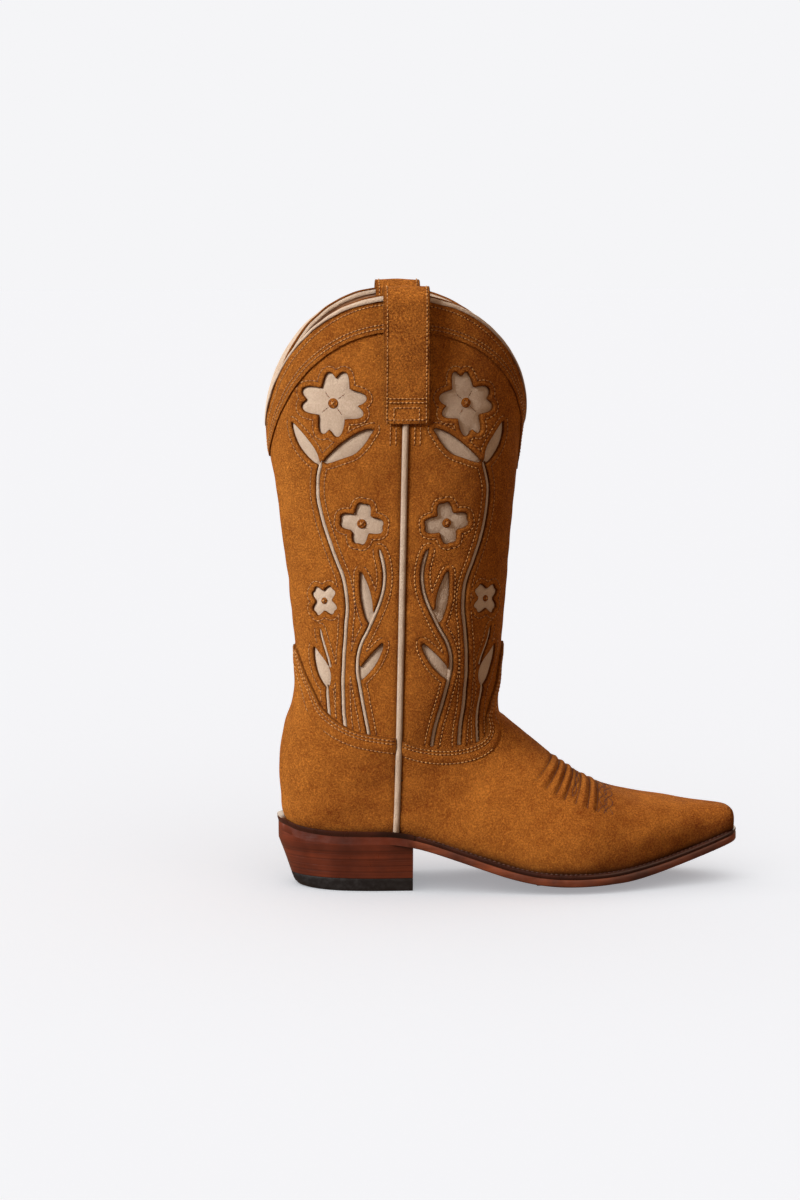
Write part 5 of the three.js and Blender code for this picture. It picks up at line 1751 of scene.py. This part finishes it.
def strap_line(centre, out, along, side, across):
    """A sewn line the whole way along the strap."""
    place = centre + out * (STRAP_THICKNESS / 2 + 0.02 - strap_hug(across, along))[:, None]
    points = np.column_stack([np.full(len(along), STRAP_X + across), side * place[:, 0], place[:, 1]])
    normals = np.column_stack([np.zeros(len(out)), side * out[:, 0], out[:, 1]])
    return points, normals


def strap_row(centre, out, along, side, across, height):
    """A row on the strap at a distance along it from the sewn end."""
    height = np.broadcast_to(height, across.shape)
    at = np.column_stack([np.interp(height, along, column) for column in centre.T])
    normal = np.column_stack([np.interp(height, along, column) for column in out.T])
    place = at + normal * (STRAP_THICKNESS / 2 + 0.26 - strap_hug(across, height))[:, None]
    points = np.column_stack([STRAP_X + across, side * place[:, 0], place[:, 1]])
    return points, np.column_stack([np.zeros(len(normal)), side * normal[:, 0], normal[:, 1]])


# ---------- inner parts that keep their CAD shape ----------

def finish_hidden_parts():
    finishes = {"shank_peg": WOOD, "heel_nail": BRASS, "insole": INSOLE, "bottom_filler": CORK,
                "toe_puff": BOARD, "heel_counter": BOARD, "shank": STEEL}
    for name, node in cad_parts.items():
        for start, material in finishes.items():
            if name.startswith(start):
                node.data.materials.clear()
                node.data.materials.append(material)
                break


# ---------- stage ----------

BACKDROP, WORLD_FILL, FILL_COLOUR = srgb(245, 245, 247), 0.2, (1.0, 0.56, 0.36, 1)
FLOOR_HALF, FLOOR_HEIGHT = 8.0, -0.0002
FLOOR_COLOUR, FLOOR_GLOW = (0.913, 0.913, 0.93, 1), (0.30, 0.316, 0.336, 1)
CAMERA_LENS, CAMERA_CLIP, CAMERA_AT, CAMERA_AIM = 95.5, 20, (-0.078, -1.950, 0.460), (0.028, 0.0, 0.178)
# Name, direction it comes from, power, softness in degrees, colour, and what it does with the floor.
LAMPS = (
    ("key", (-0.85, -0.42, 0.60), 5.9, 25, (1, 1, 1), "EXCLUDE"),
    ("front_fill", (0.7, -0.55, 0.5), 0.7, 60, (1.0, 0.82, 0.62), "EXCLUDE"),
    ("inner_fill", (0.2, 0.92, 0.3), 1.6, 60, (1.0, 0.86, 0.7), "EXCLUDE"),
    ("floor_light", (-0.1, -0.2, 1.0), 1.84, 120, (0.83, 0.95, 1.0), "INCLUDE"),
)


def add_floor():
    """A pale floor that takes the boot's soft shadow and throws no light back on it."""
    mesh = bpy.data.meshes.new("floor")
    corners = [(-1, -1), (1, -1), (1, 1), (-1, 1)]
    points = [(x * FLOOR_HALF, y * FLOOR_HALF, FLOOR_HEIGHT) for x, y in corners]
    mesh.from_pydata(points, [], [(0, 1, 2, 3)])
    floor = bpy.data.objects.new("floor", mesh)
    bpy.context.scene.collection.objects.link(floor)
    n = Nodes("pale_floor")
    mesh.materials.append(n.finish(Base_Color=FLOOR_COLOUR, Roughness=1.0, Specular_IOR_Level=0.0,
                                   Emission_Color=FLOOR_GLOW, Emission_Strength=1.0))
    floor.visible_diffuse = False
    floor.visible_glossy = False
    return floor


def light_only(lamp, floor, state):
    """Ties a lamp to the floor: INCLUDE lights nothing else, EXCLUDE lights everything else."""
    receivers = bpy.data.collections.new(f"{lamp.name}_receivers")
    receivers.objects.link(floor)
    receivers.collection_objects[0].light_linking.link_state = state
    lamp.light_linking.receiver_collection = receivers


def add_world(backdrop, fill):
    """The camera sees the backdrop, and the boot is lit by a dim warm fill."""
    world = bpy.data.worlds.new("studio")
    bpy.context.scene.world = world
    world.use_nodes = True
    nodes, links = world.node_tree.nodes, world.node_tree.links
    shown = nodes["Background"]
    shown.inputs["Color"].default_value = backdrop
    shown.inputs["Strength"].default_value = 1.0
    dim = nodes.new("ShaderNodeBackground")
    dim.inputs["Color"].default_value = FILL_COLOUR
    dim.inputs["Strength"].default_value = fill
    path, mix = nodes.new("ShaderNodeLightPath"), nodes.new("ShaderNodeMixShader")
    links.new(path.outputs["Is Camera Ray"], mix.inputs["Fac"])
    links.new(dim.outputs["Background"], mix.inputs[1])
    links.new(shown.outputs["Background"], mix.inputs[2])
    links.new(mix.outputs["Shader"], nodes["World Output"].inputs["Surface"])


def add_sun(name, towards, power, angle, colour):
    """A soft distant light that shines from a direction."""
    sun = bpy.data.lights.new(name, "SUN")
    sun.energy = power
    sun.color = colour
    sun.angle = math.radians(angle)
    lamp = bpy.data.objects.new(name, sun)
    lamp.rotation_euler = Vector(towards).to_track_quat("Z", "Y").to_euler()
    bpy.context.scene.collection.objects.link(lamp)
    return lamp


def add_camera():
    camera = bpy.data.cameras.new("camera")
    camera.lens = CAMERA_LENS
    camera.clip_end = CAMERA_CLIP
    holder = bpy.data.objects.new("camera", camera)
    holder.location = Vector(CAMERA_AT)
    holder.rotation_euler = (Vector(CAMERA_AIM) - holder.location).to_track_quat("-Z", "Y").to_euler()
    bpy.context.scene.collection.objects.link(holder)
    bpy.context.scene.camera = holder


for part_end in ("front", "back"):
    add_shaft(part_end)
    add_collar(part_end)
    add_binding(part_end)
    add_shaft_lining(part_end)
    for part_side in SIDES:
        add_inlay(part_end, part_side)
add_foot()
add_vamp_lining()
add_outsole()
add_welt()
add_heel()
add_footbed()
for part_side in SIDES:
    add_piping(part_side)
    add_pull_strap(part_side)
finish_hidden_parts()
pale_floor = add_floor()
add_world(BACKDROP, WORLD_FILL)
for lamp_name, towards, power, spread_angle, colour, floor_state in LAMPS:
    light_only(add_sun(lamp_name, towards, power, spread_angle, colour), pale_floor, floor_state)
add_camera()
bpy.context.scene.view_settings.view_transform = "Standard"
